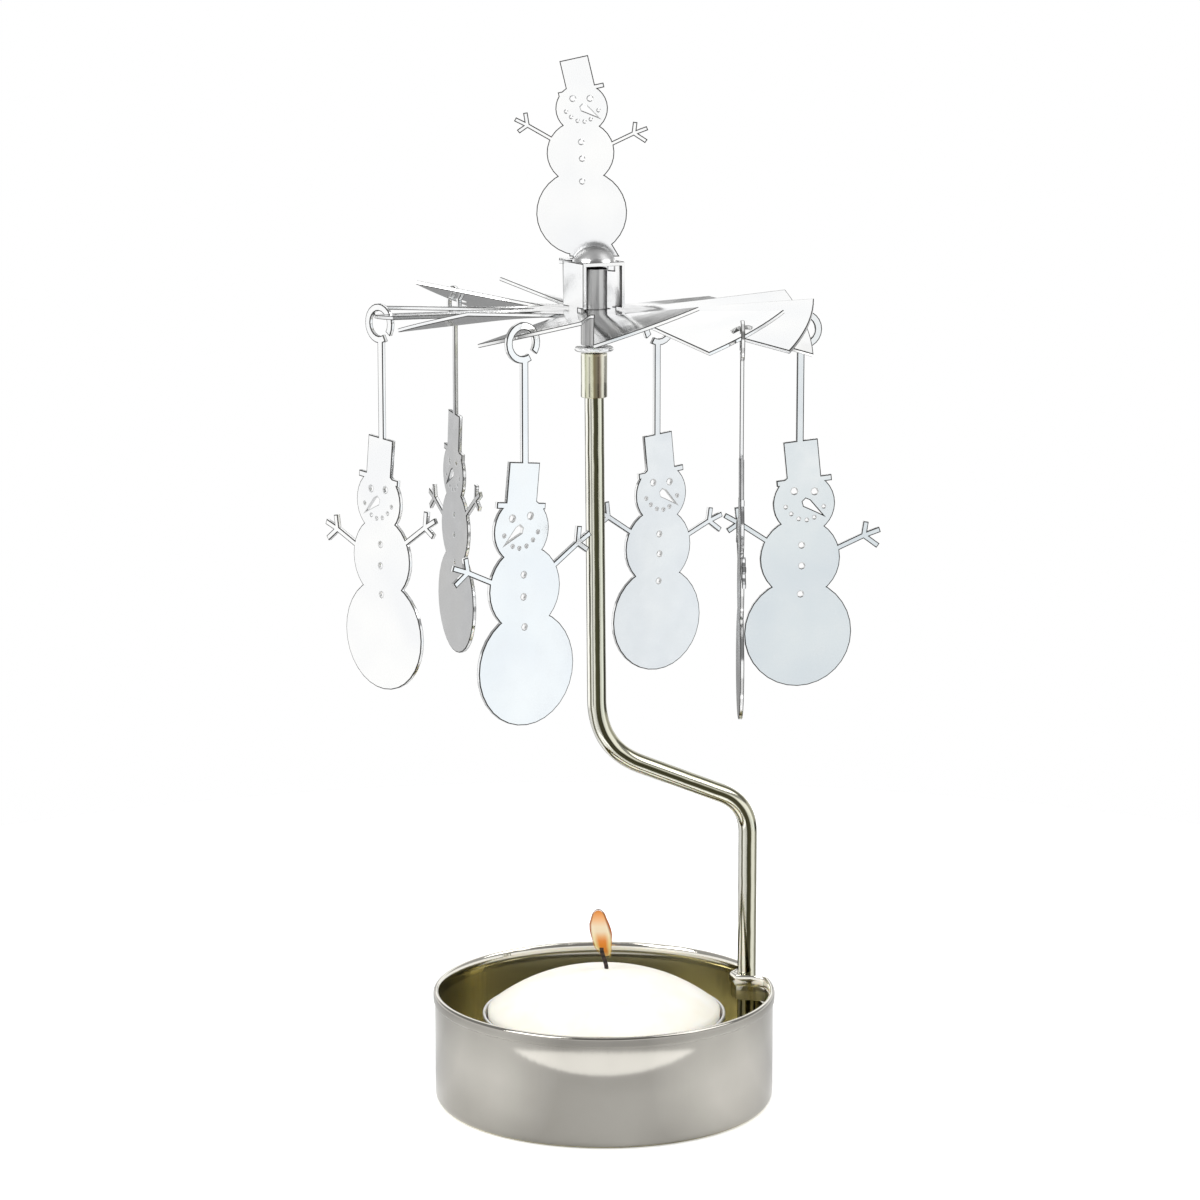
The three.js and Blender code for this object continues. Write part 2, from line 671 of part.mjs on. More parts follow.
const canFoot = cupSheet + seatGap;
const canTop = canFoot + canHeight;
const canWall = canRadius - canLipWidth;
const canProfile = [
  [0, canFoot],
  ...arcPoints(canWall - canCorner, canFoot + canCorner, canCorner, -90, 0, 4),
  [canWall, canTop - canLipHeight],
  [canRadius, canTop - canLipHeight + canLipWidth],
  [canRadius, canTop - canLipRound],
  [canRadius - canLipRound, canTop],
  [canWall - canLipRound, canTop],
  [canWall - canSheet, canTop - canLipHeight],
  ...arcPoints(canWall - canCorner, canFoot + canCorner, canCorner - canSheet, 0, -90, 3),
  [0, canFoot + canSheet],
];
addPart('tealight_can', toBody(turned(canProfile, 44)), aluminium);

const waxRadius = canWall - canSheet - seatGap;
const waxFoot = canFoot + canSheet + seatGap;
const waxEdge = canTop + waxAboveLip;
const waxRings = 10;
const waxLevel = (radius) => waxEdge + waxDome * (1 - (radius / waxRadius) ** waxDomePower)
  + wickHump * Math.exp(-((radius / wickHumpSpread) ** 2));
const waxProfile = [
  [0, waxFoot],
  [waxRadius - waxFootBevel, waxFoot],
  [waxRadius, waxFoot + waxFootBevel],
];
for (let i = 0; i <= waxRings; i += 1) {
  const radius = waxRadius * (1 - i / waxRings);
  waxProfile.push([radius, waxLevel(radius)]);
}
const atWick = (geometry) => toBody(geometry.translate(wickX, 0, 0));
const wickFootTop = waxFoot + wickFootSheet;
const wickNeckTop = wickFootTop + wickNeckHeight;
const wickBore = wickRadius + wickBoreGap;
const waxBody = toBody(turned(waxProfile, 40))
  .subtract(atWick(post(wickFootRadius + seatGap, waxFoot - cutMargin, wickFootTop + seatGap)))
  .subtract(atWick(post(wickNeckRadius + seatGap, waxFoot, wickNeckTop + seatGap)))
  .subtract(atWick(post(wickBore, waxFoot, waxEdge + waxDome * 2, 20)));
addPart('tealight_wax', waxBody, { color: 0xf4f1e6, roughness: 0.55, metalness: 0.0 });

const wickFootBody = atWick(post(wickFootRadius, waxFoot, wickFootTop, 40))
  .add(atWick(post(wickNeckRadius, waxFoot, wickNeckTop, 24)))
  .subtract(atWick(post(wickBore, wickFootTop, wickNeckTop + cutMargin, 20)));
addPart('wick_foot', wickFootBody, aluminium);

const wickBase = waxLevel(0);
const wickCorners = [
  new THREE.Vector3(wickX, 0, wickFootTop + seatGap),
  new THREE.Vector3(wickX, 0, wickBase + wickStraight),
  new THREE.Vector3(wickX + wickLean, 0, wickBase + wickStandsOut),
];
addPart('tealight_wick', toBody(wire(wickCorners, [wickBend], wickRadius, 24, 10)), {
  color: 0x2a211b,
  roughness: 0.9,
  metalness: 0.0,
});

const group = new THREE.Group();
group.name = 'rotating_candle_holder';
group.add(...parts);
export default group;
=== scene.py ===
import math

import bmesh
import bpy
from mathutils import Matrix, Vector


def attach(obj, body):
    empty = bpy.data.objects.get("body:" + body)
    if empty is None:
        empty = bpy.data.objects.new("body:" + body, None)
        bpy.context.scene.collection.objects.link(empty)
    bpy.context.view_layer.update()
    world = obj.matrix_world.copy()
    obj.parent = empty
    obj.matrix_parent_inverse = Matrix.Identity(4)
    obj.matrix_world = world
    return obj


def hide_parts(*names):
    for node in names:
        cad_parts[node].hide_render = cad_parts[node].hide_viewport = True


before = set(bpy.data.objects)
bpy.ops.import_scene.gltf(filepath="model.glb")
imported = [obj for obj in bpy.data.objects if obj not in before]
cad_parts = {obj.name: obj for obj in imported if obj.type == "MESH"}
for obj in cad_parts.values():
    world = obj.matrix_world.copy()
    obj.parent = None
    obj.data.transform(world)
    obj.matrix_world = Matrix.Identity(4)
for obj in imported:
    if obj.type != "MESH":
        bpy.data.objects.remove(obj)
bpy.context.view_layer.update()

mm = 0.001
print("frame loaded:", len(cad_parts), "nodes")


# small helpers for nodes and meshes

def hexColour(code):
    parts = [int(code[i:i + 2], 16) / 255 for i in (1, 3, 5)]
    linear = [p / 12.92 if p <= 0.04045 else ((p + 0.055) / 1.055) ** 2.4 for p in parts]
    return (*linear, 1.0)


def addNode(tree, kind, settings=None, inputs=None):
    made = tree.nodes.new(kind)
    for name, value in (settings or {}).items():
        setattr(made, name, value)
    for socket, value in (inputs or {}).items():
        if isinstance(value, bpy.types.NodeSocket):
            tree.links.new(value, made.inputs[socket])
        else:
            made.inputs[socket].default_value = value
    return made


def setRamp(ramp, stops):
    # Colours are hex codes or have four parts.
    elements = ramp.color_ramp.elements
    while len(elements) > 1:
        elements.remove(elements[-1])
    for i, (place, colour) in enumerate(stops):
        element = elements[0] if i == 0 else elements.new(place)
        element.position = place
        element.color = hexColour(colour) if isinstance(colour, str) else colour


def grey(level):
    return (level, level, level, 1.0)


def newMaterial(name):
    material = bpy.data.materials.new(name)
    material.use_nodes = True
    tree = material.node_tree
    tree.nodes.clear()
    return material, tree, addNode(tree, "ShaderNodeTexCoord").outputs["Object"]


def finishMaterial(material, tree, surface):
    addNode(tree, "ShaderNodeOutputMaterial", inputs={"Surface": surface.outputs[0]})
    return material


def makePiece(name, mesh, material, body, replaced=(), sharpAngle=35):
    piece = bpy.data.objects.new(name, mesh)
    bpy.context.scene.collection.objects.link(piece)
    mesh.materials.clear()
    mesh.materials.append(material)
    mesh.shade_smooth()
    mesh.set_sharp_from_angle(angle=math.radians(sharpAngle))
    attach(piece, body)
    if replaced:
        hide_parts(*replaced)


def meshFrom(bm, name, recalculate=True):
    if recalculate:
        bmesh.ops.recalc_face_normals(bm, faces=bm.faces)
    mesh = bpy.data.meshes.new(name)
    bm.to_mesh(mesh)
    bm.free()
    return mesh


def spinProfile(points, steps, start=0.0, centreX=0.0):
    # Turns (radius, height) pairs in mm about a vertical line and closes the seam and the poles.
    bm = bmesh.new()
    turn = Matrix.Rotation(math.radians(start), 3, "Z")
    verts = [bm.verts.new(turn @ Vector((r * mm, 0, z * mm))) for r, z in points]
    edges = [bm.edges.new(pair) for pair in zip(verts, verts[1:])]
    if (Vector(points[0]) - Vector(points[-1])).length < 1e-6:
        bmesh.ops.remove_doubles(bm, verts=bm.verts, dist=1e-7)
        edges = list(bm.edges)
    bmesh.ops.spin(
        bm, geom=list(bm.verts) + edges, cent=(0, 0, 0), axis=(0, 0, 1),
        angle=2 * math.pi, steps=steps, use_merge=True, use_duplicate=False,
    )
    bmesh.ops.remove_doubles(bm, verts=bm.verts, dist=1e-6)
    bmesh.ops.translate(bm, verts=bm.verts, vec=(centreX * mm, 0, 0))
    return bm


def arc(centreRadius, centreHeight, radius, fromAngle, toAngle, steps):
    points = []
    for i in range(steps + 1):
        angle = math.radians(fromAngle + (toAngle - fromAngle) * i / steps)
        points.append((centreRadius + radius * math.cos(angle), centreHeight + radius * math.sin(angle)))
    return points


def takeShape(carrier):
    # The finished shape of a helper object, whose modifiers are applied, and the helper goes.
    mesh = bpy.data.meshes.new_from_object(carrier.evaluated_get(bpy.context.evaluated_depsgraph_get()))
    bpy.data.objects.remove(carrier)
    bm = bmesh.new()
    bm.from_mesh(mesh)
    bpy.data.meshes.remove(mesh)
    return bm


def tubeMesh(name, points, radius, sides):
    # Round wire through points in mm, made as a curve and turned into a mesh.
    curve = bpy.data.curves.new(name, "CURVE")
    curve.dimensions = "3D"
    curve.bevel_depth = radius * mm
    curve.bevel_resolution = sides
    curve.use_fill_caps = True
    line = curve.splines.new("POLY")
    line.points.add(len(points) - 1)
    for spot, point in zip(line.points, points):
        spot.co = (*(Vector(point) * mm), 1)
    carrier = bpy.data.objects.new(name, curve)
    bpy.context.scene.collection.objects.link(carrier)
    bm = takeShape(carrier)
    bmesh.ops.remove_doubles(bm, verts=bm.verts, dist=1e-7)
    return meshFrom(bm, name)


def markAcross(mesh, middleAt):
    # Writes how far each point lies to the left (-1) or right (1) of the wire's middle, seen from -Y, which
    # places the painted reflection streaks.
    layer = mesh.attributes.new("across", "FLOAT", "POINT")
    for vert, item in zip(mesh.vertices, layer.data):
        middle, along, radius = middleAt(vert.co)
        rightWay = along.cross(Vector((0, -1, 0))).normalized()
        item.value = (vert.co - middle).dot(rightWay) / radius
    return mesh


def smoothStep(t):
    t = min(max(t, 0), 1)
    return t * t * (3 - 2 * t)


# materials

def makeBrightSheet(name, dimpleFrom=1000.0):
    # Bright nickel plating on stamped steel sheet: a near-white mirror, slightly wavy from the press,
    # with faint handling marks. Round every stamping its eased corners get a dull grey line of painted
    # shade. Above dimpleFrom (mm) the sheet was stretched and is satin, and its colour is a darker grey of
    # painted shade.
    material, tree, place = newMaterial(name)
    waves = addNode(tree, "ShaderNodeTexNoise", inputs={"Vector": place, "Scale": 90, "Detail": 1.5})  # 11 mm
    marks = addNode(tree, "ShaderNodeTexNoise", inputs={"Vector": place, "Scale": 420, "Detail": 4})  # 2.4 mm
    smudge = addNode(tree, "ShaderNodeMapRange", inputs={
        "Value": marks.outputs["Fac"], "From Min": 0.35, "From Max": 0.7, "To Min": 0.10, "To Max": 0.17})
    bump = addNode(tree, "ShaderNodeBump", inputs={
        "Height": waves.outputs["Fac"], "Strength": 0.5, "Distance": 0.12 * mm})
    tint = addNode(tree, "ShaderNodeValToRGB", inputs={"Fac": waves.outputs["Fac"]})
    setRamp(tint, [(0.35, "#EDEEEF"), (0.65, "#F4F4F3")])
    cut = addNode(tree, "ShaderNodeAttribute", {"attribute_name": "paintedEdgeShade"}).outputs["Fac"]
    height = addNode(tree, "ShaderNodeSeparateXYZ", inputs={"Vector": place}).outputs["Z"]
    domeSatinAndShade = addNode(tree, "ShaderNodeMapRange", inputs={
        "Value": height, "From Min": (dimpleFrom - 0.2) * mm, "From Max": (dimpleFrom + 0.2) * mm})
    # above dimpleFrom the colour turns to grey #B4B4B4, painted shade on the pressed dome; the added
    # roughness is its satin finish
    body = addNode(tree, "ShaderNodeMix", {"data_type": "RGBA"}, {
        0: domeSatinAndShade.outputs["Result"], 6: tint.outputs["Color"], 7: hexColour("#B4B4B4")})
    satin = addNode(tree, "ShaderNodeMath", {"operation": "MULTIPLY_ADD"}, {
        0: domeSatinAndShade.outputs["Result"], 1: 0.3, 2: smudge.outputs["Result"]})
    # painted shade: the marked corners are coloured dark grey #454543 and made rough
    colour = addNode(tree, "ShaderNodeMix", {"data_type": "RGBA"}, {
        0: cut, 6: body.outputs[2], 7: hexColour("#454543")})
    roughness = addNode(tree, "ShaderNodeMix", inputs={0: cut, 2: satin.outputs[0], 3: 0.55})
    surface = addNode(tree, "ShaderNodeBsdfPrincipled", inputs={
        "Base Color": colour.outputs[2], "Roughness": roughness.outputs[0],
        "Normal": bump.outputs["Normal"], "Metallic": 1.0})
    return finishMaterial(material, tree, surface)


def makeNickelPaintedStreaks(name, paintedReflections):
    # Nickel plating on drawn wire and its sleeve: clear reflections, with painted reflections as bright
    # and dark olive streaks along it, which the attribute "across" (-1 left, 1 right) places.
    material, tree, place = newMaterial(name)
    along = addNode(tree, "ShaderNodeMapping", inputs={"Vector": place, "Scale": (1, 1, 0.03)})
    lines = addNode(tree, "ShaderNodeTexNoise", inputs={  # 0.4 mm apart
        "Vector": along.outputs["Vector"], "Scale": 2600, "Detail": 2})
    wear = addNode(tree, "ShaderNodeTexNoise", inputs={"Vector": place, "Scale": 300, "Detail": 3})  # 3 mm
    bump = addNode(tree, "ShaderNodeBump", inputs={
        "Height": lines.outputs["Fac"], "Strength": 0.25, "Distance": 0.02 * mm})
    gloss = addNode(tree, "ShaderNodeMapRange", inputs={
        "Value": wear.outputs["Fac"], "From Min": 0.3, "From Max": 0.7, "To Min": 0.08, "To Max": 0.14})
    across = addNode(tree, "ShaderNodeAttribute", {"attribute_name": "across"}).outputs["Fac"]
    wander = addNode(tree, "ShaderNodeMapRange", inputs={
        "Value": wear.outputs["Fac"], "To Min": -0.07, "To Max": 0.07})
    moved = addNode(tree, "ShaderNodeMath", inputs={0: across, 1: wander.outputs["Result"]})
    share = addNode(tree, "ShaderNodeMapRange", inputs={
        "Value": moved.outputs[0], "From Min": -1.0, "From Max": 1.0})
    tint = addNode(tree, "ShaderNodeValToRGB", inputs={"Fac": share.outputs["Result"]})
    setRamp(tint, paintedReflections)
    surface = addNode(tree, "ShaderNodeBsdfPrincipled", inputs={
        "Base Color": tint.outputs["Color"], "Roughness": gloss.outputs["Result"],
        "Normal": bump.outputs["Normal"], "Metallic": 1.0})
    return finishMaterial(material, tree, surface)


def makeGroundSteel():
    # Ground steel of the pin: cold grey, with the grinding's fine lines along it.
    material, tree, place = newMaterial("ground_steel_pin")
    along = addNode(tree, "ShaderNodeMapping", inputs={"Vector": place, "Scale": (1, 1, 0.02)})
    lines = addNode(tree, "ShaderNodeTexNoise", inputs={  # 0.7 mm apart
        "Vector": along.outputs["Vector"], "Scale": 1500, "Detail": 2})
    tint = addNode(tree, "ShaderNodeValToRGB", inputs={"Fac": lines.outputs["Fac"]})
    setRamp(tint, [(0.35, "#9C9C9C"), (0.65, "#C8C8C7")])
    surface = addNode(tree, "ShaderNodeBsdfPrincipled", inputs={
        "Base Color": tint.outputs["Color"], "Roughness": 0.3, "Metallic": 1.0})
    return finishMaterial(material, tree, surface)


def makeSatinNickel(insideRadius=26.65, rimRadius=27.05, foldEnd=15.55):
    # Satin nickel on a deep-drawn steel cup: soft reflections and fine upright draw lines. The folded
    # rim is coloured lighter, a painted highlight. The inside isn't buffed and has an olive tone.
    # The distances (mm) say where the cup's inside begins, and the rim's fold from the side and below.
    material, tree, place = newMaterial("satin_nickel_cup")
    along = addNode(tree, "ShaderNodeMapping", inputs={"Vector": place, "Scale": (1, 1, 0.06)})
    lines = addNode(tree, "ShaderNodeTexNoise", inputs={  # 0.7 mm apart
        "Vector": along.outputs["Vector"], "Scale": 1400, "Detail": 3})
    clouds = addNode(tree, "ShaderNodeTexNoise", inputs={"Vector": place, "Scale": 70, "Detail": 3})  # 14 mm
    bump = addNode(tree, "ShaderNodeBump", inputs={
        "Height": lines.outputs["Fac"], "Strength": 0.35, "Distance": 0.03 * mm})
    gloss = addNode(tree, "ShaderNodeMapRange", inputs={
        "Value": clouds.outputs["Fac"], "From Min": 0.3, "From Max": 0.7, "To Min": 0.05, "To Max": 0.075})
    tint = addNode(tree, "ShaderNodeValToRGB", inputs={"Fac": clouds.outputs["Fac"]})
    setRamp(tint, [(0.3, "#A4A19A"), (0.7, "#B0ADA6")])
    axes = addNode(tree, "ShaderNodeSeparateXYZ", inputs={"Vector": place}).outputs
    level = addNode(tree, "ShaderNodeCombineXYZ", inputs={"X": axes["X"], "Y": axes["Y"]})
    radius = addNode(tree, "ShaderNodeVectorMath", {"operation": "LENGTH"}, {0: level.outputs["Vector"]})
    inside = addNode(tree, "ShaderNodeMapRange", inputs={
        "Value": radius.outputs["Value"],
        "From Min": (insideRadius + 0.03) * mm, "From Max": (insideRadius - 0.03) * mm})
    rim = addNode(tree, "ShaderNodeMapRange", inputs={
        "Value": radius.outputs["Value"],
        "From Min": (rimRadius + 0.05) * mm, "From Max": (rimRadius - 0.05) * mm})
    below = addNode(tree, "ShaderNodeMapRange", inputs={
        "Value": axes["Z"], "From Min": (foldEnd + 0.15) * mm, "From Max": (foldEnd - 0.15) * mm})
    dull = addNode(tree, "ShaderNodeMath", {"operation": "MULTIPLY"}, {
        0: inside.outputs["Result"], 1: below.outputs["Result"]})
    rimHighlight = addNode(tree, "ShaderNodeMath", {"operation": "SUBTRACT", "use_clamp": True}, {
        0: rim.outputs["Result"], 1: below.outputs["Result"]})
    # painted highlight: the folded rim's colour is the lighter #E4E1D7
    bright = addNode(tree, "ShaderNodeMix", {"data_type": "RGBA"}, {
        0: rimHighlight.outputs[0], 6: tint.outputs["Color"], 7: hexColour("#E4E1D7")})
    # the inside below the fold gets the olive tone #DCD5B0 and a rougher finish
    colour = addNode(tree, "ShaderNodeMix", {"data_type": "RGBA"}, {
        0: dull.outputs[0], 6: bright.outputs[2], 7: hexColour("#DCD5B0")})
    roughness = addNode(tree, "ShaderNodeMix", inputs={
        0: dull.outputs[0], 2: gloss.outputs["Result"], 3: 0.24})
    surface = addNode(tree, "ShaderNodeBsdfPrincipled", inputs={
        "Base Color": colour.outputs[2], "Roughness": roughness.outputs[0],
        "Normal": bump.outputs["Normal"], "Metallic": 1.0})
    return finishMaterial(material, tree, surface)


def makeCanAluminium():
    # Pressed aluminium foil: pale, satin, with fine random creases.
    material, tree, place = newMaterial("pressed_aluminium_foil")
    creases = addNode(tree, "ShaderNodeTexNoise", inputs={"Vector": place, "Scale": 500, "Detail": 4})  # 2 mm
    bump = addNode(tree, "ShaderNodeBump", inputs={
        "Height": creases.outputs["Fac"], "Strength": 0.3, "Distance": 0.06 * mm})
    gloss = addNode(tree, "ShaderNodeMapRange", inputs={
        "Value": creases.outputs["Fac"], "To Min": 0.24, "To Max": 0.42})
    surface = addNode(tree, "ShaderNodeBsdfPrincipled", inputs={
        "Base Color": hexColour("#E6E6E6"), "Roughness": gloss.outputs["Result"],
        "Normal": bump.outputs["Normal"], "Metallic": 1.0})
    return finishMaterial(material, tree, surface)


def makeWax():
    # Poured paraffin wax: off-white, soft light under the skin, faint flow marks.
    material, tree, place = newMaterial("paraffin_wax")
    flow = addNode(tree, "ShaderNodeTexNoise", inputs={"Vector": place, "Scale": 160, "Detail": 2})  # 6 mm
    bump = addNode(tree, "ShaderNodeBump", inputs={
        "Height": flow.outputs["Fac"], "Strength": 0.3, "Distance": 0.3 * mm})
    tint = addNode(tree, "ShaderNodeValToRGB", inputs={"Fac": flow.outputs["Fac"]})
    setRamp(tint, [(0.3, "#F6F1E4"), (0.7, "#FBF8F0")])
    surface = addNode(tree, "ShaderNodeBsdfPrincipled", inputs={
        "Base Color": tint.outputs["Color"], "Roughness": 0.45, "Normal": bump.outputs["Normal"],
        "Subsurface Weight": 0.35, "Subsurface Radius": (0.004, 0.003, 0.002),
        "Subsurface Scale": 1.0, "IOR": 1.44})
    return finishMaterial(material, tree, surface)


def makeWick():
    # Burnt braided cotton: brown-black and dull, with the braid's slanting ridges.
    material, tree, place = newMaterial("burnt_cotton_wick")
    slanted = addNode(tree, "ShaderNodeMapping", inputs={"Vector": place, "Rotation": (0.6, 0.3, 0)})
    braid = addNode(tree, "ShaderNodeTexWave", {"bands_direction": "Z"}, {
        "Vector": slanted.outputs["Vector"], "Scale": 450, "Distortion": 2})
    bump = addNode(tree, "ShaderNodeBump", inputs={
        "Height": braid.outputs["Fac"], "Strength": 0.8, "Distance": 0.1 * mm})
    tint = addNode(tree, "ShaderNodeValToRGB", inputs={"Fac": braid.outputs["Fac"]})
    setRamp(tint, [(0.0, "#1E1712"), (1.0, "#3F3128")])
    surface = addNode(tree, "ShaderNodeBsdfPrincipled", inputs={
        "Base Color": tint.outputs["Color"], "Roughness": 0.85, "Normal": bump.outputs["Normal"]})
    return finishMaterial(material, tree, surface)


brightSheet = makeBrightSheet("bright_plated_sheet")
foldedSheet = makeBrightSheet("folded_plated_sheet", dimpleFrom=134.7)
# painted reflections across the wire: bright streaks and dark olive ones, from left to right
wireNickelPaintedReflections = makeNickelPaintedStreaks("nickel_wire_painted_reflections", [
    (0.0, "#6E6C58"), (0.05, "#F4F3EA"), (0.13, "#F4F3EA"), (0.17, "#5E5C48"), (0.21, "#5E5C48"),
    (0.26, "#EAE9DE"), (0.41, "#E4E3D4"), (0.47, "#46442F"), (0.65, "#4A4833"), (0.71, "#DEDCC8"),
    (0.84, "#E2E1CF"), (0.89, "#8F8D78"), (0.96, "#8F8D78"), (1.0, "#C9C6B0")])
# painted reflections across the sleeve: bright streaks and dark olive ones, from left to right
sleeveNickelPaintedReflections = makeNickelPaintedStreaks("nickel_sleeve_painted_reflections", [
    (0.0, "#8C8A74"), (0.05, "#EFEFE2"), (0.12, "#F1F0E6"), (0.18, "#B5B79C"), (0.3, "#DDDCC8"),
    (0.44, "#CFCEB4"), (0.5, "#7C7458"), (0.72, "#86796A"), (0.8, "#D5CFBC"), (0.92, "#EBE9DC"),
    (1.0, "#9E9C86")])
groundSteel = makeGroundSteel()
satinNickel = makeSatinNickel()
canAluminium = makeCanAluminium()
paraffinWax = makeWax()
burntWick = makeWick()
print("materials made")


# cup: one drawn sheet, folded at the rim, with a length of the rim pushed in around the rod

cup = {
    "radius": 27.1,
    "height": 18.1,
    "sheet": 0.5,
    "cornerRadius": 1.4,
    "hemHeight": 1.75,
    "hemThickness": 1.1,
    "hemStandOut": 0.25,
    "hemRoll": 1.5,
    "loopAzimuth": 20.6,
    "loopHalfWidth": 4.2,
    "loopFlatHalfWidth": 1.2,
    "loopBottom": 14.0,
    "slitBottom": 13.4,
    "loopPush": 4.1,
    "floorRings": (12, 20),
    "wallRings": (5, 9),
    "steps": 240,
}


def makeCup():
    c = cup
    hemOut = c["radius"] + c["hemStandOut"]
    hemIn = hemOut - c["hemThickness"]
    crown = c["hemThickness"] / 2
    hemFoot = c["height"] - c["hemHeight"]
    inner = c["radius"] - c["sheet"]
    floorEdge = c["radius"] - c["cornerRadius"]
    wallLevels = (*c["wallRings"], c["slitBottom"], c["loopBottom"])
    profile = [(radius, 0) for radius in (0, *c["floorRings"])]
    profile += arc(floorEdge, c["cornerRadius"], c["cornerRadius"], -90, 0, 8)
    profile += [(c["radius"], height) for height in (*wallLevels, hemFoot - 0.1)]
    profile.append((hemOut, hemFoot + 0.25))
    profile += arc(hemOut - crown, c["height"] - crown, crown, 0, 90, 6)
    for i in range(1, 9):  # the inner side of the fold rolls down in a longer curve
        angle = math.radians(90 * i / 8)
        fall = c["hemRoll"] * (1 - math.cos(angle))
        profile.append((hemOut - crown * (1 + math.sin(angle)), c["height"] - fall))
    profile.append((hemIn + 0.1, hemFoot))
    profile += [(inner, height) for height in (hemFoot, *reversed(wallLevels))]
    profile += arc(floorEdge, c["cornerRadius"], c["cornerRadius"] - c["sheet"], 0, -90, 6)
    profile += [(radius, c["sheet"]) for radius in (*reversed(c["floorRings"]), 0)]
    bm = spinProfile(profile, c["steps"], start=c["loopAzimuth"])
    halfAngle = c["loopHalfWidth"] / c["radius"]
    flatAngle = c["loopFlatHalfWidth"] / c["radius"]
    middle = math.radians(c["loopAzimuth"])

    def awayFromLoop(point):
        angle = math.atan2(point.y, point.x) - middle
        return abs((angle + math.pi) % (2 * math.pi) - math.pi)

    # the slit under the pushed-in length is cut first, and its edges are closed
    slit = [
        f for f in bm.faces
        if abs(f.calc_center_median().z - (c["slitBottom"] + c["loopBottom"]) / 2 * mm) < 0.1 * mm
        and awayFromLoop(f.calc_center_median()) < halfAngle
    ]
    bmesh.ops.delete(bm, geom=slit, context="FACES")
    rims = [e for e in bm.edges if e.is_boundary]
    bmesh.ops.bridge_loops(bm, edges=rims)
    for vert in bm.verts:
        if vert.co.z > (c["loopBottom"] - 0.05) * mm:
            away = awayFromLoop(vert.co)
            if away < halfAngle:
                push = 1 - smoothStep((away - flatAngle) / (halfAngle - flatAngle))
                radius = math.hypot(vert.co.x, vert.co.y)
                share = (radius - c["loopPush"] * push * mm) / radius
                vert.co.x *= share
                vert.co.y *= share
    makePiece("cup", meshFrom(bm, "cup"), satinNickel, "stand", ["candle_cup"], 30)


makeCup()
print("cup made")


# rod, sleeve, collar and pin

rod = {
    "radius": 1.5,
    "footDistance": 24.8,
    "foot": 0.8,
    "lowerElbow": 46.3,
    "upperElbow": (-1.1, 57.3),
    "top": (-1.57, 117.0),
    "lowerBend": 5.0,
    "upperBend": 8.0,
}

spindle = {
    "axisX": -1.57,
    "sleeveRadius": 2.05,
    "sleeveBottom": 113.2,
    "sleeveTop": 120.2,
    "sleeveRound": 0.2,
    "rodBore": 1.75,
    "pinBore": 1.3,
    "boreStep": 117.4,
    "collarRadius": 3.05,
    "collarBottom": 120.4,
    "collarTop": 121.2,
    "tailRadius": 1.0,
    "tailFoot": 117.6,
    "pinBottom": 121.4,
    "pinFootRound": 0.15,
    "pinShoulderRound": 0.25,
    "pinShoulder": 133.4,
    "pinNeck": 133.55,
    "pinTip": 135.8,
}


def bentPath(corners, bends, steps=24):
    path = [Vector(corners[0])]
    for i in range(1, len(corners) - 1):
        before, corner, after = (Vector(corners[j]) for j in (i - 1, i, i + 1))
        start = corner - (corner - before).normalized() * bends[i - 1]
        end = corner + (after - corner).normalized() * bends[i - 1]
        for j in range(steps + 1):
            t = j / steps
            path.append(start * (1 - t) ** 2 + corner * (2 * t * (1 - t)) + end * t * t)
    path.append(Vector(corners[-1]))
    return path


def makeRod():
    r = rod
    angle = math.radians(cup["loopAzimuth"])
    footX, footY = r["footDistance"] * math.cos(angle), r["footDistance"] * math.sin(angle)
    corners = [
        (footX, footY, r["foot"]),
        (footX, footY, r["lowerElbow"]),
        (r["upperElbow"][0], 0, r["upperElbow"][1]),
        (r["top"][0], 0, r["top"][1]),
    ]
    path = bentPath(corners, [r["lowerBend"], r["upperBend"]])
    mesh = tubeMesh("rod", path, r["radius"], sides=14)

    def middleAt(point):
        best = None
        for start, end in zip(path, path[1:]):
            a, b = start * mm, end * mm
            share = min(max((point - a).dot(b - a) / (b - a).length_squared, 0), 1)
            middle = a + (b - a) * share
            if best is None or (point - middle).length < best[0]:
                best = ((point - middle).length, middle, (b - a).normalized())
        return best[1], best[2], r["radius"] * mm

    markAcross(mesh, middleAt)
    makePiece("rod", mesh, wireNickelPaintedReflections, "stand", ["stand_rod"], 50)


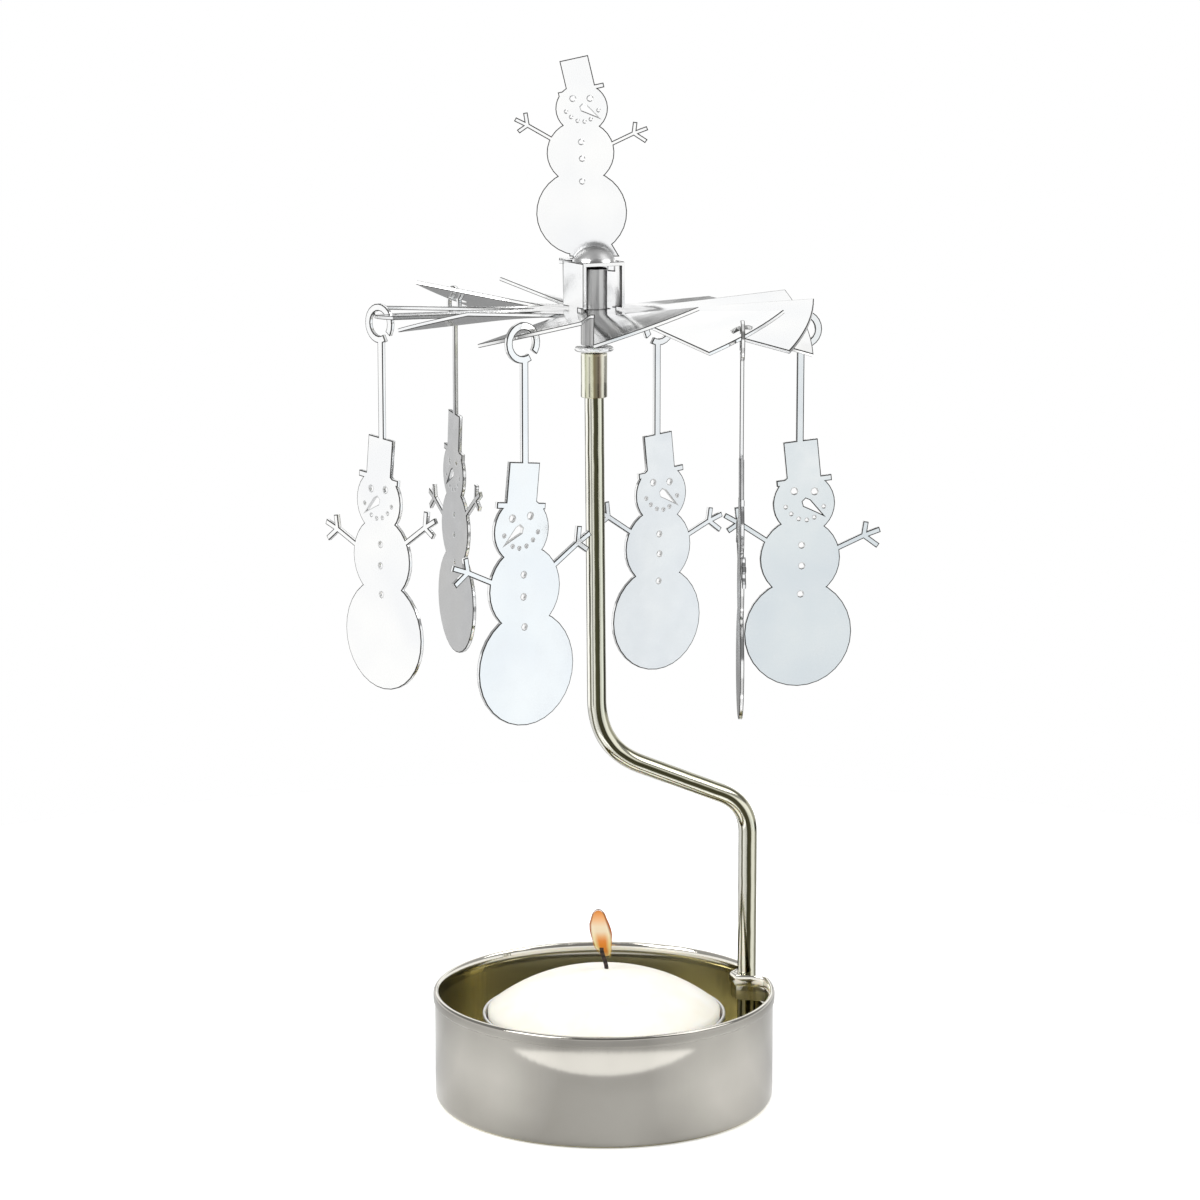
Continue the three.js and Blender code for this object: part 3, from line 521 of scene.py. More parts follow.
def makeSpindle():
    s = spindle
    outer, low, high = s["sleeveRadius"], s["sleeveBottom"], s["sleeveTop"]
    rodBore, pinBore, step, soft = s["rodBore"], s["pinBore"], s["boreStep"], s["sleeveRound"]
    sleeve = [(rodBore, low + 0.1), (rodBore + 0.05, low), (outer - soft, low)]
    sleeve += arc(outer - soft, low + soft, soft, -90, 0, 4)
    sleeve += [(outer - 0.02, low + 2.5), (outer, high - 0.5)]
    sleeve += arc(outer - soft, high - soft, soft, 0, 90, 4)
    sleeve += [(pinBore + 0.1, high), (pinBore, high - 0.1), (pinBore, step)]
    sleeve += [(rodBore, step - 0.1), (rodBore, low + 0.1)]
    bm = spinProfile(sleeve, 64, centreX=s["axisX"])
    mesh = markAcross(meshFrom(bm, "sleeve"), lambda point: (
        Vector((s["axisX"] * mm, 0, point.z)), Vector((0, 0, 1)), s["sleeveRadius"] * mm))
    makePiece("sleeve", mesh, sleeveNickelPaintedReflections, "stand", ["spindle_sleeve"], 40)
    middle = (s["collarBottom"] + s["collarTop"]) / 2
    half = (s["collarTop"] - s["collarBottom"]) / 2
    collar = [(pinBore, s["collarBottom"]), *arc(s["collarRadius"] - half, middle, half, -90, 90, 10)]
    collar += [(pinBore, s["collarTop"]), (pinBore, s["collarBottom"])]
    bm = spinProfile(collar, 72, centreX=s["axisX"])
    makePiece("collar", meshFrom(bm, "collar"), brightSheet, "stand", ["spindle_collar"], 40)
    footRound, shoulderRound = s["pinFootRound"], s["pinShoulderRound"]
    pin = [(0, s["tailFoot"]), (s["tailRadius"], s["tailFoot"]), (s["tailRadius"], s["pinBottom"])]
    pin += [(outer - footRound, s["pinBottom"])]
    pin += arc(outer - footRound, s["pinBottom"] + footRound, footRound, -90, 0, 3)
    pin += arc(outer - shoulderRound, s["pinShoulder"] - shoulderRound, shoulderRound, 0, 60, 4)
    pin += [(0.5, s["pinNeck"]), (0.5, s["pinTip"] - 1.0), (0.2, s["pinTip"] - 0.25), (0, s["pinTip"])]
    bm = spinProfile(pin, 48, centreX=s["axisX"])
    makePiece("pin", meshFrom(bm, "pin"), groundSteel, "stand", ["pivot_pin"], 30)


makeRod()
makeSpindle()
print("rod and spindle made")


# wheel: hub and twelve blades grown from its edge, then given the sheet's thickness

wheel = {
    "level": 126.7,
    "sheet": 0.6,
    "hubRadius": 9.4,
    "boreRadius": 2.45,
    "hubRings": (4.2, 6.0, 7.8),
    "radius": 34.0,
    "holeRadius": 1.5,
    "holeDistance": 32.0,
    "bladePitch": 30,
    "bladeAngle": 27,
    "bladeRings": 14,
    "steps": 120,
    "holeSides": 40,
    "topNormal": 0.75,
    "sideNormal": 0.6,
    # rise of the leading edge and lift of the whole tip, anticlockwise from +X
    "bends": [(4.3, -2.7), (1.2, -1.9), (1.5, -5.0), (2.1, 0.1), (3.0, -0.3), (0.8, -0.5),
              (0.6, -0.2), (1.8, 0.5), (1.9, -0.4), (2.6, 0.7), (2.6, -0.9), (3.2, -1.4)],
    # outline and the side width below: widths (mm) of the painted shade lines round the flat faces and along
    # the sheet edges
    "outline": 0.15,
    "ease": 0.055,
    "sideShadeLine": 0.06,
    "sharpAngle": 13,
}


def linkedGroups(faces):
    # Splits faces into groups that hang together at their edges.
    left, groups = set(faces), []
    while left:
        group = [left.pop()]
        for face in group:  # the group grows while it is read
            for linked in {f for e in face.edges for f in e.link_faces} & left:
                left.remove(linked)
                group.append(linked)
        groups.append(group)
    return groups


def easeAndShadeOutline(bm, faces, cut, width, ease, holeSpan=3.5, holeShade=0.3):
    # Eases the corners round the given flat faces and marks them, so that the material paints a line
    # of shade on them. Punched holes up to holeSpan (mm) get a fainter line of painted shade.
    made = bmesh.ops.inset_region(
        bm, faces=faces, use_boundary=True, use_even_offset=True, thickness=width * mm, depth=0)
    ring = made["faces"]
    onTop = set(ring) | set(faces)
    for group in linkedGroups(ring):
        places = [vert.co for face in group for vert in face.verts]
        span = max(max(p[axis] for p in places) - min(p[axis] for p in places) for axis in range(3))
        for face in group:
            face[cut] = holeShade if span < holeSpan * mm else 1.0
    normalAt = {}
    for face in ring:
        face.normal_update()
        for vert in face.verts:
            if any(linked not in onTop for linked in vert.link_faces):
                normalAt.setdefault(vert, face.normal.copy())
    for vert, normal in normalAt.items():
        vert.co -= normal * ease * mm


def refillFlat(bm, faces, normal):
    # Fills one flat face anew, as the inset can turn over its long thin triangles.
    inside = set(faces)
    outline = [e for e in {e for f in faces for e in f.edges} if any(f not in inside for f in e.link_faces)]
    bmesh.ops.delete(bm, geom=faces, context="FACES")
    filled = bmesh.ops.triangle_fill(bm, use_beauty=True, use_dissolve=False, edges=outline, normal=normal)
    for face in filled["geom"]:
        if isinstance(face, bmesh.types.BMFace):
            face.normal_update()
            if face.normal.dot(normal) < 0:
                face.normal_flip()


def makeWheel():
    w = wheel
    bm = bmesh.new()
    verts = [bm.verts.new((r * mm, 0, 0)) for r in (w["boreRadius"], *w["hubRings"], w["hubRadius"])]
    edges = [bm.edges.new(pair) for pair in zip(verts, verts[1:])]
    bmesh.ops.spin(
        bm, geom=verts + edges, cent=(0, 0, 0), axis=(0, 0, 1),
        angle=2 * math.pi, steps=w["steps"], use_merge=True, use_duplicate=False,
    )
    bmesh.ops.remove_doubles(bm, verts=bm.verts, dist=1e-6)
    hubEdge = [
        e for e in bm.edges
        if e.is_boundary and e.verts[0].co.length > (w["hubRadius"] - 0.5) * mm
    ]

    def azimuthOf(point):
        return math.degrees(math.atan2(point.y, point.x)) % 360

    for index, (rise, lift) in enumerate(w["bends"]):
        first = index * w["bladePitch"]
        last = first + w["bladeAngle"]
        row = []
        for e in hubEdge:
            middle = (e.verts[0].co + e.verts[1].co) / 2
            if first < azimuthOf(middle) < last:
                row.append(e)
        for ring in range(1, w["bladeRings"] + 1):
            grown = bmesh.ops.extrude_edge_only(bm, edges=row)["geom"]
            row = [g for g in grown if isinstance(g, bmesh.types.BMEdge)]
            reach = ring / w["bladeRings"]
            radius = (w["hubRadius"] + (w["radius"] - w["hubRadius"]) * reach) * mm
            for vert in {v for e in row for v in e.verts}:
                azimuth = math.atan2(vert.co.y, vert.co.x)
                degrees = math.degrees(azimuth) % 360
                if index == 0 and degrees > 180:
                    degrees -= 360
                across = (degrees - (first + last) / 2) / w["bladeAngle"]
                vert.co = Vector((
                    radius * math.cos(azimuth), radius * math.sin(azimuth),
                    reach * (lift + 2 * rise * across) * mm,
                ))
            row = [e for e in row if e.is_boundary]
    bmesh.ops.translate(bm, verts=bm.verts, vec=(spindle["axisX"] * mm, 0, w["level"] * mm))
    for face in bm.faces:
        if face.normal.z < 0:
            face.normal_flip()
    mesh = meshFrom(bm, "wheel", recalculate=False)

    cutter = bmesh.new()
    for index in range(0, len(w["bends"]), 2):
        azimuth = math.radians(index * w["bladePitch"] + w["bladeAngle"] / 2)
        x = spindle["axisX"] + w["holeDistance"] * math.cos(azimuth)
        y = w["holeDistance"] * math.sin(azimuth)
        bmesh.ops.create_cone(
            cutter, cap_ends=True, segments=w["holeSides"], depth=10 * mm,
            radius1=w["holeRadius"] * mm, radius2=w["holeRadius"] * mm,
            matrix=Matrix.Translation((x * mm, y * mm, w["level"] * mm)),
        )
    cutterPiece = bpy.data.objects.new("holeCutter", meshFrom(cutter, "holeCutter"))
    bpy.context.scene.collection.objects.link(cutterPiece)
    carrier = bpy.data.objects.new("wheelCarrier", mesh)
    bpy.context.scene.collection.objects.link(carrier)
    thick = carrier.modifiers.new("sheet", "SOLIDIFY")
    thick.thickness = w["sheet"] * mm
    thick.offset = 0
    holes = carrier.modifiers.new("holes", "BOOLEAN")
    holes.object = cutterPiece
    holes.operation = "DIFFERENCE"
    holes.solver = "EXACT"
    bm = takeShape(carrier)
    bpy.data.objects.remove(cutterPiece)
    bmesh.ops.remove_doubles(bm, verts=bm.verts, dist=1e-6)
    cut = bm.faces.layers.float.new("paintedEdgeShade")
    for side in (1, -1):
        bm.normal_update()
        flat = [f for f in bm.faces if f.normal.z * side > w["topNormal"]]
        easeAndShadeOutline(bm, flat, cut, w["outline"], w["ease"])
    bm.normal_update()
    edgeFaces = [f for f in bm.faces if abs(f.normal.z) < w["sideNormal"] and not f[cut]]
    easeAndShadeOutline(bm, edgeFaces, cut, w["sideShadeLine"], 0)
    finished = meshFrom(bm, "wheel", recalculate=False)
    makePiece("wheel", finished, brightSheet, "rotor", ["rotor_wheel"], w["sharpAngle"])


makeWheel()
print("wheel made")


# bridge and figures: stamped from flat sheet, so their edges are rounded a little

stamping = {
    # outline and the side width below: widths (mm) of the painted shade lines round the flat faces and along
    # the sheet edges
    "outline": 0.15,
    "ease": 0.055,
    "sideShadeLine": 0.06,
    "sharpAngle": 13,
    "foldRound": 0.95,
    "bridgeTurn": 26,
    "bridgeHalfLength": 3.6,
    "bridgeTop": 134.4,
    "mainShare": 0.3,
    "sameWay": 0.98,
    "tolerance": 0.02,
}


def stampedCopy(node, foldRound=0.0):
    bm = bmesh.new()
    bm.from_mesh(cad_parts[node].data)
    bmesh.ops.remove_doubles(bm, verts=bm.verts, dist=1e-6)
    if foldRound:
        bmesh.ops.dissolve_limit(bm, angle_limit=math.radians(0.5), verts=bm.verts, edges=bm.edges)
        turn = Matrix.Rotation(math.radians(-stamping["bridgeTurn"]), 3, "Z")
        axis = Vector((spindle["axisX"] * mm, 0, 0))
        near = stamping["tolerance"] * mm
        folds = []
        for e in bm.edges:
            middle = turn @ ((e.verts[0].co + e.verts[1].co) / 2 - axis)
            atEnd = abs(abs(middle.x) - stamping["bridgeHalfLength"] * mm) < near
            atTop = abs(middle.z - stamping["bridgeTop"] * mm) < near
            if atEnd and atTop and e.calc_length() > 4 * mm:
                folds.append(e)
        print("folds rounded:", len(folds))
        bmesh.ops.bevel(
            bm, geom=folds, offset=foldRound * mm, offset_type="OFFSET", segments=6, profile=0.5,
            affect="EDGES", clamp_overlap=True, material=-1,
        )
    bm.normal_update()
    cut = bm.faces.layers.float.new("paintedEdgeShade")
    sides = {}  # the flat faces are gathered by the direction they look in
    for face in bm.faces:
        for direction in sides:
            if face.normal.dot(direction) > stamping["sameWay"]:
                sides[direction].append(face)
                break
        else:
            sides[face.normal.copy().freeze()] = [face]
    areas = {direction: sum(f.calc_area() for f in faces) for direction, faces in sides.items()}
    most = max(areas.values())
    done = []
    for direction, faces in sides.items():
        if areas[direction] > most * stamping["mainShare"]:
            easeAndShadeOutline(bm, faces, cut, stamping["outline"], stamping["ease"])
            done.append(direction)
            if not foldRound:
                refillFlat(bm, faces, direction)
    if not foldRound:
        edgeFaces = [
            f for f in bm.faces
            if not f[cut] and all(f.normal.dot(direction) < stamping["sameWay"] for direction in done)
        ]
        easeAndShadeOutline(bm, edgeFaces, cut, stamping["sideShadeLine"], 0)
    return meshFrom(bm, node, recalculate=False)


makePiece("bridge", stampedCopy("pivot_bridge", stamping["foldRound"]), foldedSheet, "rotor",
          ["pivot_bridge"], stamping["sharpAngle"])
for number in range(1, 7):
    node = f"snowman_charm_{number}"
    makePiece(f"snowman_{number}", stampedCopy(node), brightSheet, f"charm_{number}", [node],
              stamping["sharpAngle"])
makePiece("snowman_top", stampedCopy("top_snowman"), brightSheet, "rotor", ["top_snowman"],
          stamping["sharpAngle"])
print("bridge and figures made")


# tealight: can, domed wax, wick

tealight = {
    "canRadius": 19.5,
    "canFoot": 0.8,
    "canTop": 14.2,
    "canWall": 19.2,
    "canSheet": 0.3,
    "canCorner": 0.8,
    "canLip": 0.25,
    "canFloorRing": 10,
    "waxRadius": 18.6,
    "waxFoot": 1.4,
    "waxFloorRing": 12,
    "waxWallRing": 8,
    "waxCorner": 0.4,
    "waxEdge": 14.7,
    "waxDome": 6.0,
    "waxDomePower": 2.4,
    "wickX": 0.4,
    "wickHump": 0.5,
    "wickHumpSpread": 2.2,
    "wickRadius": 0.33,
    "wickStandsOut": 3.4,
    "wickLean": -0.8,
}


def waxLevel(radius):
    t = tealight
    dome = t["waxDome"] * (1 - (radius / t["waxRadius"]) ** t["waxDomePower"])
    return t["waxEdge"] + dome + t["wickHump"] * math.exp(-((radius / t["wickHumpSpread"]) ** 2))


def makeTealight():
    t = tealight
    wall, foot, top, sheet = t["canWall"], t["canFoot"], t["canTop"], t["canSheet"]
    corner, lip, ring = t["canCorner"], t["canLip"], t["canFloorRing"]
    can = [(0, foot), (ring, foot), *arc(wall - corner, foot + corner, corner, -90, 0, 6)]
    can += [(wall, top - 1.0), (t["canRadius"] - 0.02, top - 0.65)]
    can += [*arc(t["canRadius"] - lip, top - lip, lip, 0, 180, 8), (wall - sheet, top - 0.9)]
    can += arc(wall - corner, foot + corner, corner - sheet, 0, -90, 5)
    can += [(ring, foot + sheet), (0, foot + sheet)]
    bm = spinProfile(can, 160)
    makePiece("can", meshFrom(bm, "can"), canAluminium, "tealight", ["tealight_can"], 40)

    side, foot, corner = t["waxRadius"], t["waxFoot"], t["waxCorner"]
    wax = [(0, foot), (t["waxFloorRing"], foot), (side - corner, foot), (side, foot + corner)]
    wax += [(side, t["waxWallRing"]), (side, t["waxEdge"] - 0.3)]
    for i in range(41):
        radius = side * (1 - i / 40)
        wax.append((max(radius - 0.05, 0), waxLevel(radius)))
    bm = spinProfile(wax, 128)
    makePiece("wax", meshFrom(bm, "wax"), paraffinWax, "tealight", ["tealight_wax"], 50)

    base = waxLevel(0)
    path = []
    for i in range(21):
        share = i / 20
        lean = smoothStep((share - 0.2) / 0.8) * t["wickLean"]
        path.append((t["wickX"] + lean, 0, base - 1.0 + share * (t["wickStandsOut"] + 1.0)))
    mesh = tubeMesh("wick", path, t["wickRadius"], sides=4)
    makePiece("wick", mesh, burntWick, "tealight", ["tealight_wick"], 50)
    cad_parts["wick_foot"].data.materials.clear()
    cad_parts["wick_foot"].data.materials.append(canAluminium)


makeTealight()
print("tealight made")


# flame: a thin brown-orange rim round a peach body, orange over the wick and pale at the sides

flame = {
    # height, how far the middle stands to the side, half width
    "outline": [
        (22.4, 0.6, 0.0), (22.65, 0.5, 0.42), (23.1, 0.33, 0.78), (23.7, 0.12, 1.08),
        (24.45, -0.15, 1.38), (25.75, -0.3, 1.62), (26.7, -0.42, 1.74), (27.6, -0.6, 1.72),
        (28.5, -0.76, 1.58), (29.3, -0.82, 1.3), (30.1, -0.86, 1.05), (30.6, -0.89, 0.76),
        (30.9, -0.91, 0.42), (31.0, -0.92, 0.0),
    ],
    "foot": 22.4,
    "top": 31.0,
    "depthShare": 0.6,
    "footBehindWick": 0.9,
    "bodyShare": 0.92,
    "bodyLift": 0.45,
    "leftRim": 0.94,
    "tipRim": 0.7,
}


def flameShell(name, share, lift, material):
    bm = spinProfile([(width * share, height) for height, _, width in flame["outline"]], 48)
    rim = bm.verts.layers.float.new("rim")
    foot, top = flame["foot"], flame["top"]
    for vert in bm.verts:
        height = vert.co.z / mm
        for (low, fromX, fromWidth), (high, toX, toWidth) in zip(flame["outline"], flame["outline"][1:]):
            if low <= height <= high + 1e-6:
                part = (height - low) / (high - low)
                width = (fromWidth + (toWidth - fromWidth) * part) * share * mm
                out = vert.co.x / width if width > 1e-6 else 1.0
                atTip = (height - top + flame["tipRim"]) / flame["tipRim"]
                vert[rim] = max(out, -out * flame["leftRim"], atTip)
                vert.co.x += (fromX + (toX - fromX) * part) * mm
                break
        behind = flame["footBehindWick"] * (top - height) / (top - foot)
        vert.co.y = vert.co.y * flame["depthShare"] + behind * mm
        vert.co.z = (foot + lift + (height - foot) * share) * mm
    makePiece(name, meshFrom(bm, name), material, "tealight", sharpAngle=180)


def flameMaterial(name, middle, sides, rimFrom, rimTo, covers, onlyRim=False):
    # Glowing gas. Its colour goes from the middle's to the sides' by the attribute "rim", and both
    # colours and the density change with the height in the flame.
    material, tree, place = newMaterial(name)
    height = addNode(tree, "ShaderNodeSeparateXYZ", inputs={"Vector": place}).outputs["Z"]
    up = addNode(tree, "ShaderNodeMapRange", inputs={
        "Value": height, "From Min": flame["foot"] * mm, "From Max": flame["top"] * mm}).outputs["Result"]
    rim = addNode(tree, "ShaderNodeAttribute", {"attribute_name": "rim"}).outputs["Fac"]
    edge = addNode(tree, "ShaderNodeMapRange", inputs={
        "Value": rim, "From Min": rimFrom, "From Max": rimTo}).outputs["Result"]
    ramps = []
    for stops in (middle, sides, [(share, grey(dense)) for share, dense in covers]):
        ramp = addNode(tree, "ShaderNodeValToRGB", inputs={"Fac": up})
        setRamp(ramp, stops)
        ramps.append(ramp.outputs["Color"])
    colour = addNode(tree, "ShaderNodeMix", {"data_type": "RGBA"}, {0: edge, 6: ramps[0], 7: ramps[1]})
    cover = ramps[2]
    if onlyRim:
        cover = addNode(tree, "ShaderNodeMath", {"operation": "MULTIPLY"}, {0: cover, 1: edge}).outputs[0]
    glow = addNode(tree, "ShaderNodeEmission", inputs={"Color": colour.outputs[2], "Strength": 1.0})
    clear = addNode(tree, "ShaderNodeBsdfTransparent")
    mixed = addNode(tree, "ShaderNodeMixShader", inputs={0: cover, 1: clear.outputs[0], 2: glow.outputs[0]})
    return finishMaterial(material, tree, mixed)


def makeFlame():
    rimColours = [(0.0, "#C9AE5A"), (0.3, "#C4822F"), (0.5, "#A34E10"), (0.85, "#9A5218"), (1.0, "#6E5644")]
    skin = flameMaterial("flame_skin", rimColours, rimColours, 0.7, 0.9,
                         [(0.0, 0.3), (0.4, 0.5), (0.6, 0.95), (1.0, 0.95)], onlyRim=True)
    body = flameMaterial(
        "flame_body",
        [(0.02, "#C8B070"), (0.16, "#C27A35"), (0.3, "#D98232"), (0.4, "#E08B45"), (0.48, "#EAB27A"),
         (0.58, "#F0DDBB"), (0.68, "#F3DFBC"), (0.8, "#F6C190"), (0.92, "#EE9E58")],
        [(0.0, "#C9B874"), (0.3, "#E2D592"), (0.5, "#F5EBC2"), (0.66, "#F5E2C4"), (0.82, "#F2B67C"),
         (0.95, "#DC8C4A")],
        0.35, 0.85, [(0.0, 0.6), (0.15, 0.85), (0.4, 0.95), (1.0, 0.95)])
    flameShell("flame_skin", 1.0, 0.0, skin)
    flameShell("flame_body", flame["bodyShare"], flame["bodyLift"], body)


makeFlame()
print("flame made")


# floor, light and camera

studio = {
    "floorRadius": 0.22,
    "floorTones": [(0.12, 0.76), (0.24, 0.74), (0.33, 0.6), (0.4, 0.52)],
    "cardHalfAngle": 55,
    "cardInside": 63.8,
    "cardOutside": 77.5,
    "cardEnd": 72.0,
    "cardStrength": 1.15,
    "cardEdge": 1.2,
    "paper": "#E8E8E8",
    "paperGlow": "#B4B4B4",
    "lampSize": 0.6,
    "lampAim": (0, 0, 0.08),
    "keyPlace": (-0.6, -0.45, 0.64),
    "keyPower": 5.0,
    "fillPlace": (0.62, -0.08, 0.71),
    "fillPower": 3.0,
    "ambient": 0.75,
    "sensor": 36,
    "lens": 107.67,
    "cameraPlace": (-0.64, -555.0, 182.0),
    "cameraDown": 10.3,
}


def floorInReflections(tree, place, radius):
    # Darker with the distance, and lighter at both sides.
    unit = addNode(tree, "ShaderNodeVectorMath", {"operation": "NORMALIZE"}, {0: place})
    heading = addNode(tree, "ShaderNodeSeparateXYZ", inputs={"Vector": unit.outputs["Vector"]}).outputs
    sideways = addNode(tree, "ShaderNodeMath", {"operation": "ABSOLUTE"}, {0: heading["X"]})
    beside = addNode(tree, "ShaderNodeMapRange", inputs={
        "Value": sideways.outputs[0], "From Min": 0.4, "From Max": 0.85, "To Min": 0.0, "To Max": 0.48})
    ahead = addNode(tree, "ShaderNodeMapRange", inputs={
        "Value": heading["Y"], "From Min": 0.4, "From Max": 0.0, "To Min": 0.15, "To Max": 1.0})
    lighter = addNode(tree, "ShaderNodeMath", {"operation": "MULTIPLY_ADD"}, {
        0: beside.outputs["Result"], 1: ahead.outputs["Result"], 2: 1.0})
    spread = addNode(tree, "ShaderNodeMath", {"operation": "DIVIDE"}, {0: radius, 1: studio["floorRadius"]})
    tone = addNode(tree, "ShaderNodeValToRGB", inputs={"Fac": spread.outputs[0]})
    setRamp(tone, [(share, grey(level)) for share, level in studio["floorTones"]])
    return addNode(tree, "ShaderNodeVectorMath", {"operation": "SCALE"}, {
        0: tone.outputs["Color"], "Scale": lighter.outputs[0]}).outputs["Vector"]


def reflectedCard(tree, place, radius, inReflections):
    # A bright card in an arc in front of the cup, narrower to its ends, for reflections only: the
    # cup's side shows it as a crescent.
    axes = addNode(tree, "ShaderNodeSeparateXYZ", inputs={"Vector": place}).outputs
    front = addNode(tree, "ShaderNodeMath", {"operation": "MULTIPLY"}, {0: axes["Y"], 1: -1.0})
    azimuth = addNode(tree, "ShaderNodeMath", {"operation": "ARCTAN2"}, {0: axes["X"], 1: front.outputs[0]})
    along = addNode(tree, "ShaderNodeMath", {"operation": "DIVIDE"}, {
        0: azimuth.outputs[0], 1: math.radians(studio["cardHalfAngle"])})
    square = addNode(tree, "ShaderNodeMath", {"operation": "POWER"}, {0: along.outputs[0], 1: 2.0})
    inner, outer = (
        addNode(tree, "ShaderNodeMapRange", {"clamp": False}, {
            "Value": square.outputs[0], "To Min": studio[side] * mm, "To Max": studio["cardEnd"] * mm})
        for side in ("cardInside", "cardOutside"))
    pastInner = addNode(tree, "ShaderNodeMath", {"operation": "SUBTRACT"}, {
        0: radius, 1: inner.outputs["Result"]})
    beforeOuter = addNode(tree, "ShaderNodeMath", {"operation": "SUBTRACT"}, {
        0: outer.outputs["Result"], 1: radius})
    least = addNode(tree, "ShaderNodeMath", {"operation": "MINIMUM"}, {
        0: pastInner.outputs[0], 1: beforeOuter.outputs[0]})
    onCard = addNode(tree, "ShaderNodeMapRange", inputs={
        "Value": least.outputs[0], "From Min": 0.0, "From Max": studio["cardEdge"] * mm})
    reflected = addNode(tree, "ShaderNodeMath", {"operation": "MULTIPLY"}, {
        0: onCard.outputs["Result"], 1: inReflections})
    bright = addNode(tree, "ShaderNodeMath", {"operation": "MULTIPLY"}, {
        0: reflected.outputs[0], 1: studio["cardStrength"]})
    return addNode(tree, "ShaderNodeEmission", inputs={"Color": grey(1.0), "Strength": bright.outputs[0]})


def makeStage():
    bm = bmesh.new()
    bmesh.ops.create_circle(bm, cap_ends=True, radius=studio["floorRadius"], segments=96)
    floor = bpy.data.objects.new("floor", meshFrom(bm, "floor", recalculate=False))
    bpy.context.scene.collection.objects.link(floor)
    # matt white paper, shown white to the camera with the object's shadow left on it
    paper, tree, place = newMaterial("white_paper_floor")
    rays = addNode(tree, "ShaderNodeLightPath").outputs
    radius = addNode(tree, "ShaderNodeVectorMath", {"operation": "LENGTH"}, {0: place}).outputs["Value"]
    seen = addNode(tree, "ShaderNodeMix", {"data_type": "RGBA"}, {
        0: rays["Is Glossy Ray"], 6: hexColour(studio["paper"]), 7: floorInReflections(tree, place, radius)})
    surface = addNode(tree, "ShaderNodeBsdfPrincipled", inputs={
        "Base Color": seen.outputs[2], "Roughness": 0.9})
    glow = addNode(tree, "ShaderNodeEmission", inputs={
        "Color": hexColour(studio["paperGlow"]), "Strength": rays["Is Camera Ray"]})
    both = addNode(tree, "ShaderNodeAddShader", inputs={0: surface.outputs["BSDF"], 1: glow.outputs[0]})
    card = reflectedCard(tree, place, radius, rays["Is Glossy Ray"])
    whole = addNode(tree, "ShaderNodeAddShader", inputs={0: both.outputs[0], 1: card.outputs[0]})
    floor.data.materials.append(finishMaterial(paper, tree, whole))


# What polished metal sees in a real studio: the elevations in degrees between which each picture
# takes over, and its colours at azimuths from behind (-180) past the left, the front (0) and the right.

pictures = {
    # white walls and pale blue cloth, with grey gaps between them
    "low": (None, [
        (-180, 0.30), (-152, 0.32), (-146, 0.55), (-135, 0.57), (-131, 1.1), (-58, 1.1), (-50, 0.9),
        (-44, 0.3), (-36, 0.3), (-30, 1.0), (-5, 1.1), (7, 1.0), (13, (0.80, 0.86, 0.89, 1.0)),
        (28, (0.80, 0.86, 0.89, 1.0)), (33, 0.3), (41, 0.3), (47, 0.85), (60, (0.84, 0.88, 0.91, 1.0)),
        (68.5, (0.84, 0.88, 0.91, 1.0)), (71, (1.02, 1.08, 1.12, 1.0)), (92, (1.05, 1.08, 1.1, 1.0)),
        (102, 0.1), (128, 0.1), (142, 0.5), (154, 0.6), (162, 0.30), (180, 0.30),
    ]),
    "eyeLevel": ((-7.0, -5.0), [(-180, 1.1), (180, 1.1)]),
    # white, with a grey place behind the object
    "justAbove": ((6.5, 7.5), [
        (-180, 0.27), (-166, 0.27), (-160, 1.1), (160, 1.1), (166, 0.27), (180, 0.27),
    ]),
    # a grey ceiling, with a white sheet behind the object
    "high": ((13.0, 15.0), [
        (-180, 1.1), (-158, 1.1), (-148, 0.42), (-90, 0.38), (-20, 0.22), (20, 0.22), (90, 0.38),
        (140, 0.42), (150, 1.1), (180, 1.1),
    ]),
    "overhead": ((58.0, 68.0), [(-180, 0.7), (180, 0.7)]),
}


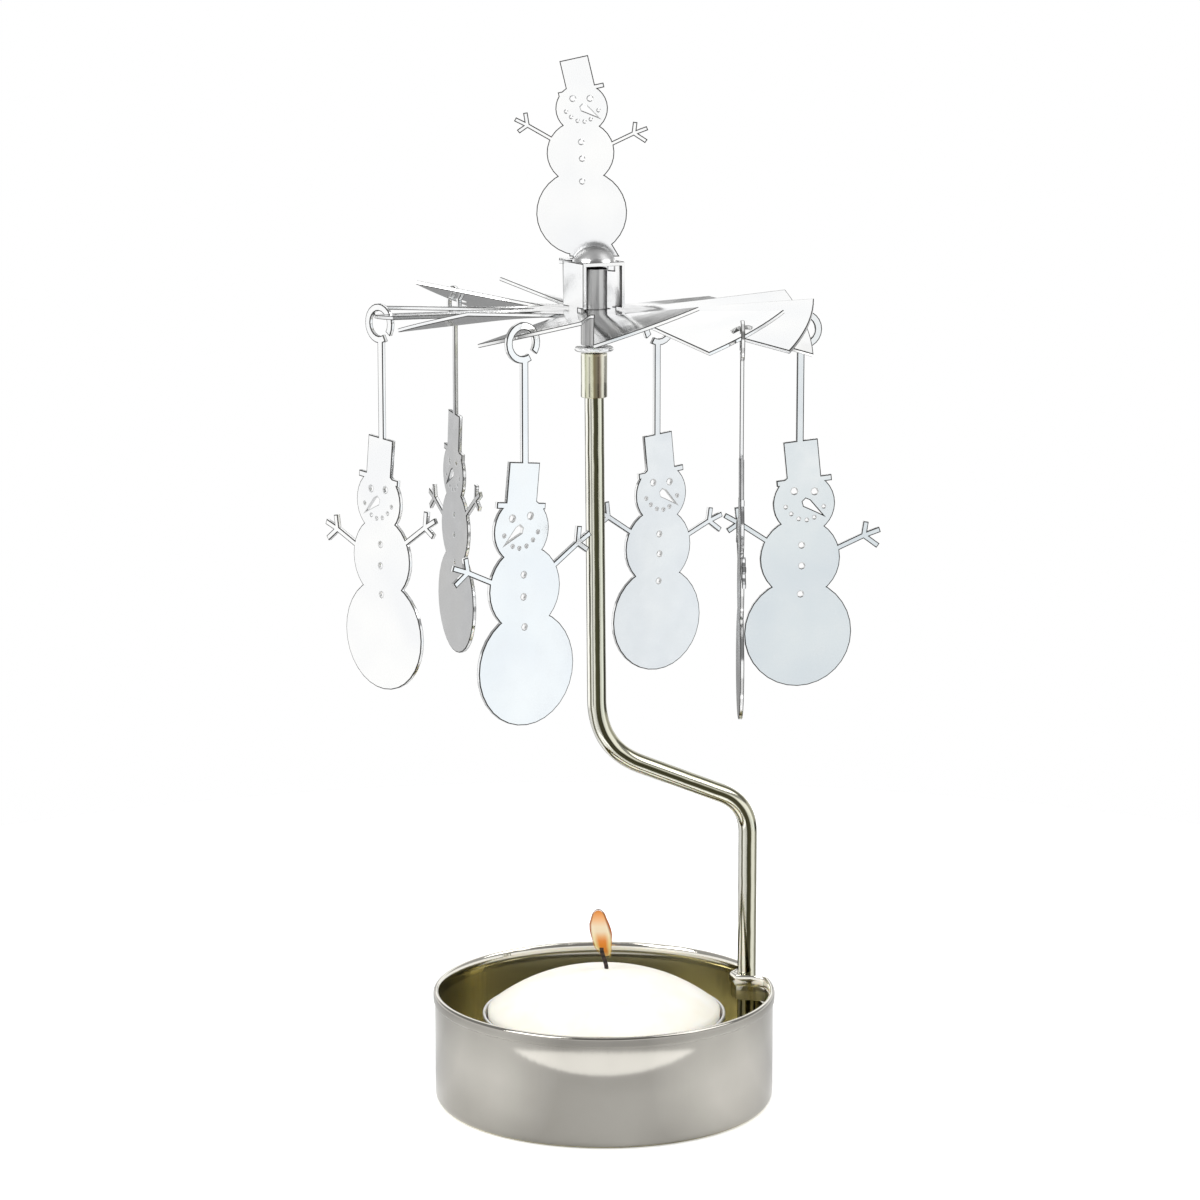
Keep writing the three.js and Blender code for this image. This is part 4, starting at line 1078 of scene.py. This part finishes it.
def makeWorld():
    world = bpy.data.worlds.new("studio")
    bpy.context.scene.world = world
    world.use_nodes = True
    tree = world.node_tree
    tree.nodes.clear()
    direction = addNode(tree, "ShaderNodeTexCoord").outputs["Generated"]
    axes = addNode(tree, "ShaderNodeSeparateXYZ", inputs={"Vector": direction}).outputs
    front = addNode(tree, "ShaderNodeMath", {"operation": "MULTIPLY"}, {0: axes["Y"], 1: -1.0})
    azimuth = addNode(tree, "ShaderNodeMath", {"operation": "ARCTAN2"}, {0: axes["X"], 1: front.outputs[0]})
    turn = addNode(tree, "ShaderNodeMapRange", inputs={
        "Value": azimuth.outputs[0], "From Min": -math.pi, "From Max": math.pi}).outputs["Result"]
    for elevations, stops in pictures.values():
        ramp = addNode(tree, "ShaderNodeValToRGB", inputs={"Fac": turn})
        setRamp(ramp, [
            ((place + 180) / 360, tone if isinstance(tone, tuple) else grey(tone)) for place, tone in stops])
        if elevations is None:
            seen = ramp.outputs["Color"]
            continue
        low, high = (math.sin(math.radians(elevation)) for elevation in elevations)
        share = addNode(tree, "ShaderNodeMapRange", inputs={
            "Value": axes["Z"], "From Min": low, "From Max": high})
        seen = addNode(tree, "ShaderNodeMix", {"data_type": "RGBA"}, {
            0: share.outputs["Result"], 6: seen, 7: ramp.outputs["Color"]}).outputs[2]
    # mirror-like metal sees the pictures, the camera sees white, and the rest is lit evenly
    rays = addNode(tree, "ShaderNodeLightPath").outputs
    glossy = addNode(tree, "ShaderNodeBackground", inputs={"Color": seen, "Strength": 1.0})
    plain = addNode(tree, "ShaderNodeBackground", inputs={"Color": grey(1.0), "Strength": studio["ambient"]})
    white = addNode(tree, "ShaderNodeBackground", inputs={"Color": grey(1.0), "Strength": 1.0})
    lit = addNode(tree, "ShaderNodeMixShader", inputs={
        0: rays["Is Glossy Ray"], 1: plain.outputs[0], 2: glossy.outputs[0]})
    through = addNode(tree, "ShaderNodeMath", {"operation": "MAXIMUM"}, {
        0: rays["Is Camera Ray"], 1: rays["Is Transmission Ray"]})
    whole = addNode(tree, "ShaderNodeMixShader", inputs={
        0: through.outputs[0], 1: lit.outputs[0], 2: white.outputs[0]})
    addNode(tree, "ShaderNodeOutputWorld", inputs={"Surface": whole.outputs[0]})


def addLamp(name, place, power):
    data = bpy.data.lights.new(name, "AREA")
    data.shape = "SQUARE"
    data.size = studio["lampSize"]
    data.energy = power
    lamp = bpy.data.objects.new(name, data)
    lamp.location = place
    aim = Vector(studio["lampAim"]) - Vector(place)
    lamp.rotation_euler = aim.to_track_quat("-Z", "Y").to_euler()
    bpy.context.scene.collection.objects.link(lamp)


def makeCamera():
    data = bpy.data.cameras.new("camera")
    data.lens = studio["lens"]
    data.sensor_width = studio["sensor"]
    data.clip_start = 0.01
    data.clip_end = 20
    camera = bpy.data.objects.new("camera", data)
    camera.location = Vector(studio["cameraPlace"]) * mm
    camera.rotation_euler = (math.radians(90 - studio["cameraDown"]), 0, 0)
    bpy.context.scene.collection.objects.link(camera)
    bpy.context.scene.camera = camera


makeStage()
makeWorld()
addLamp("keyLight", studio["keyPlace"], studio["keyPower"])
addLamp("fillLight", studio["fillPlace"], studio["fillPower"])
makeCamera()
bpy.context.scene.view_settings.view_transform = "Standard"
print("stage, light and camera made")
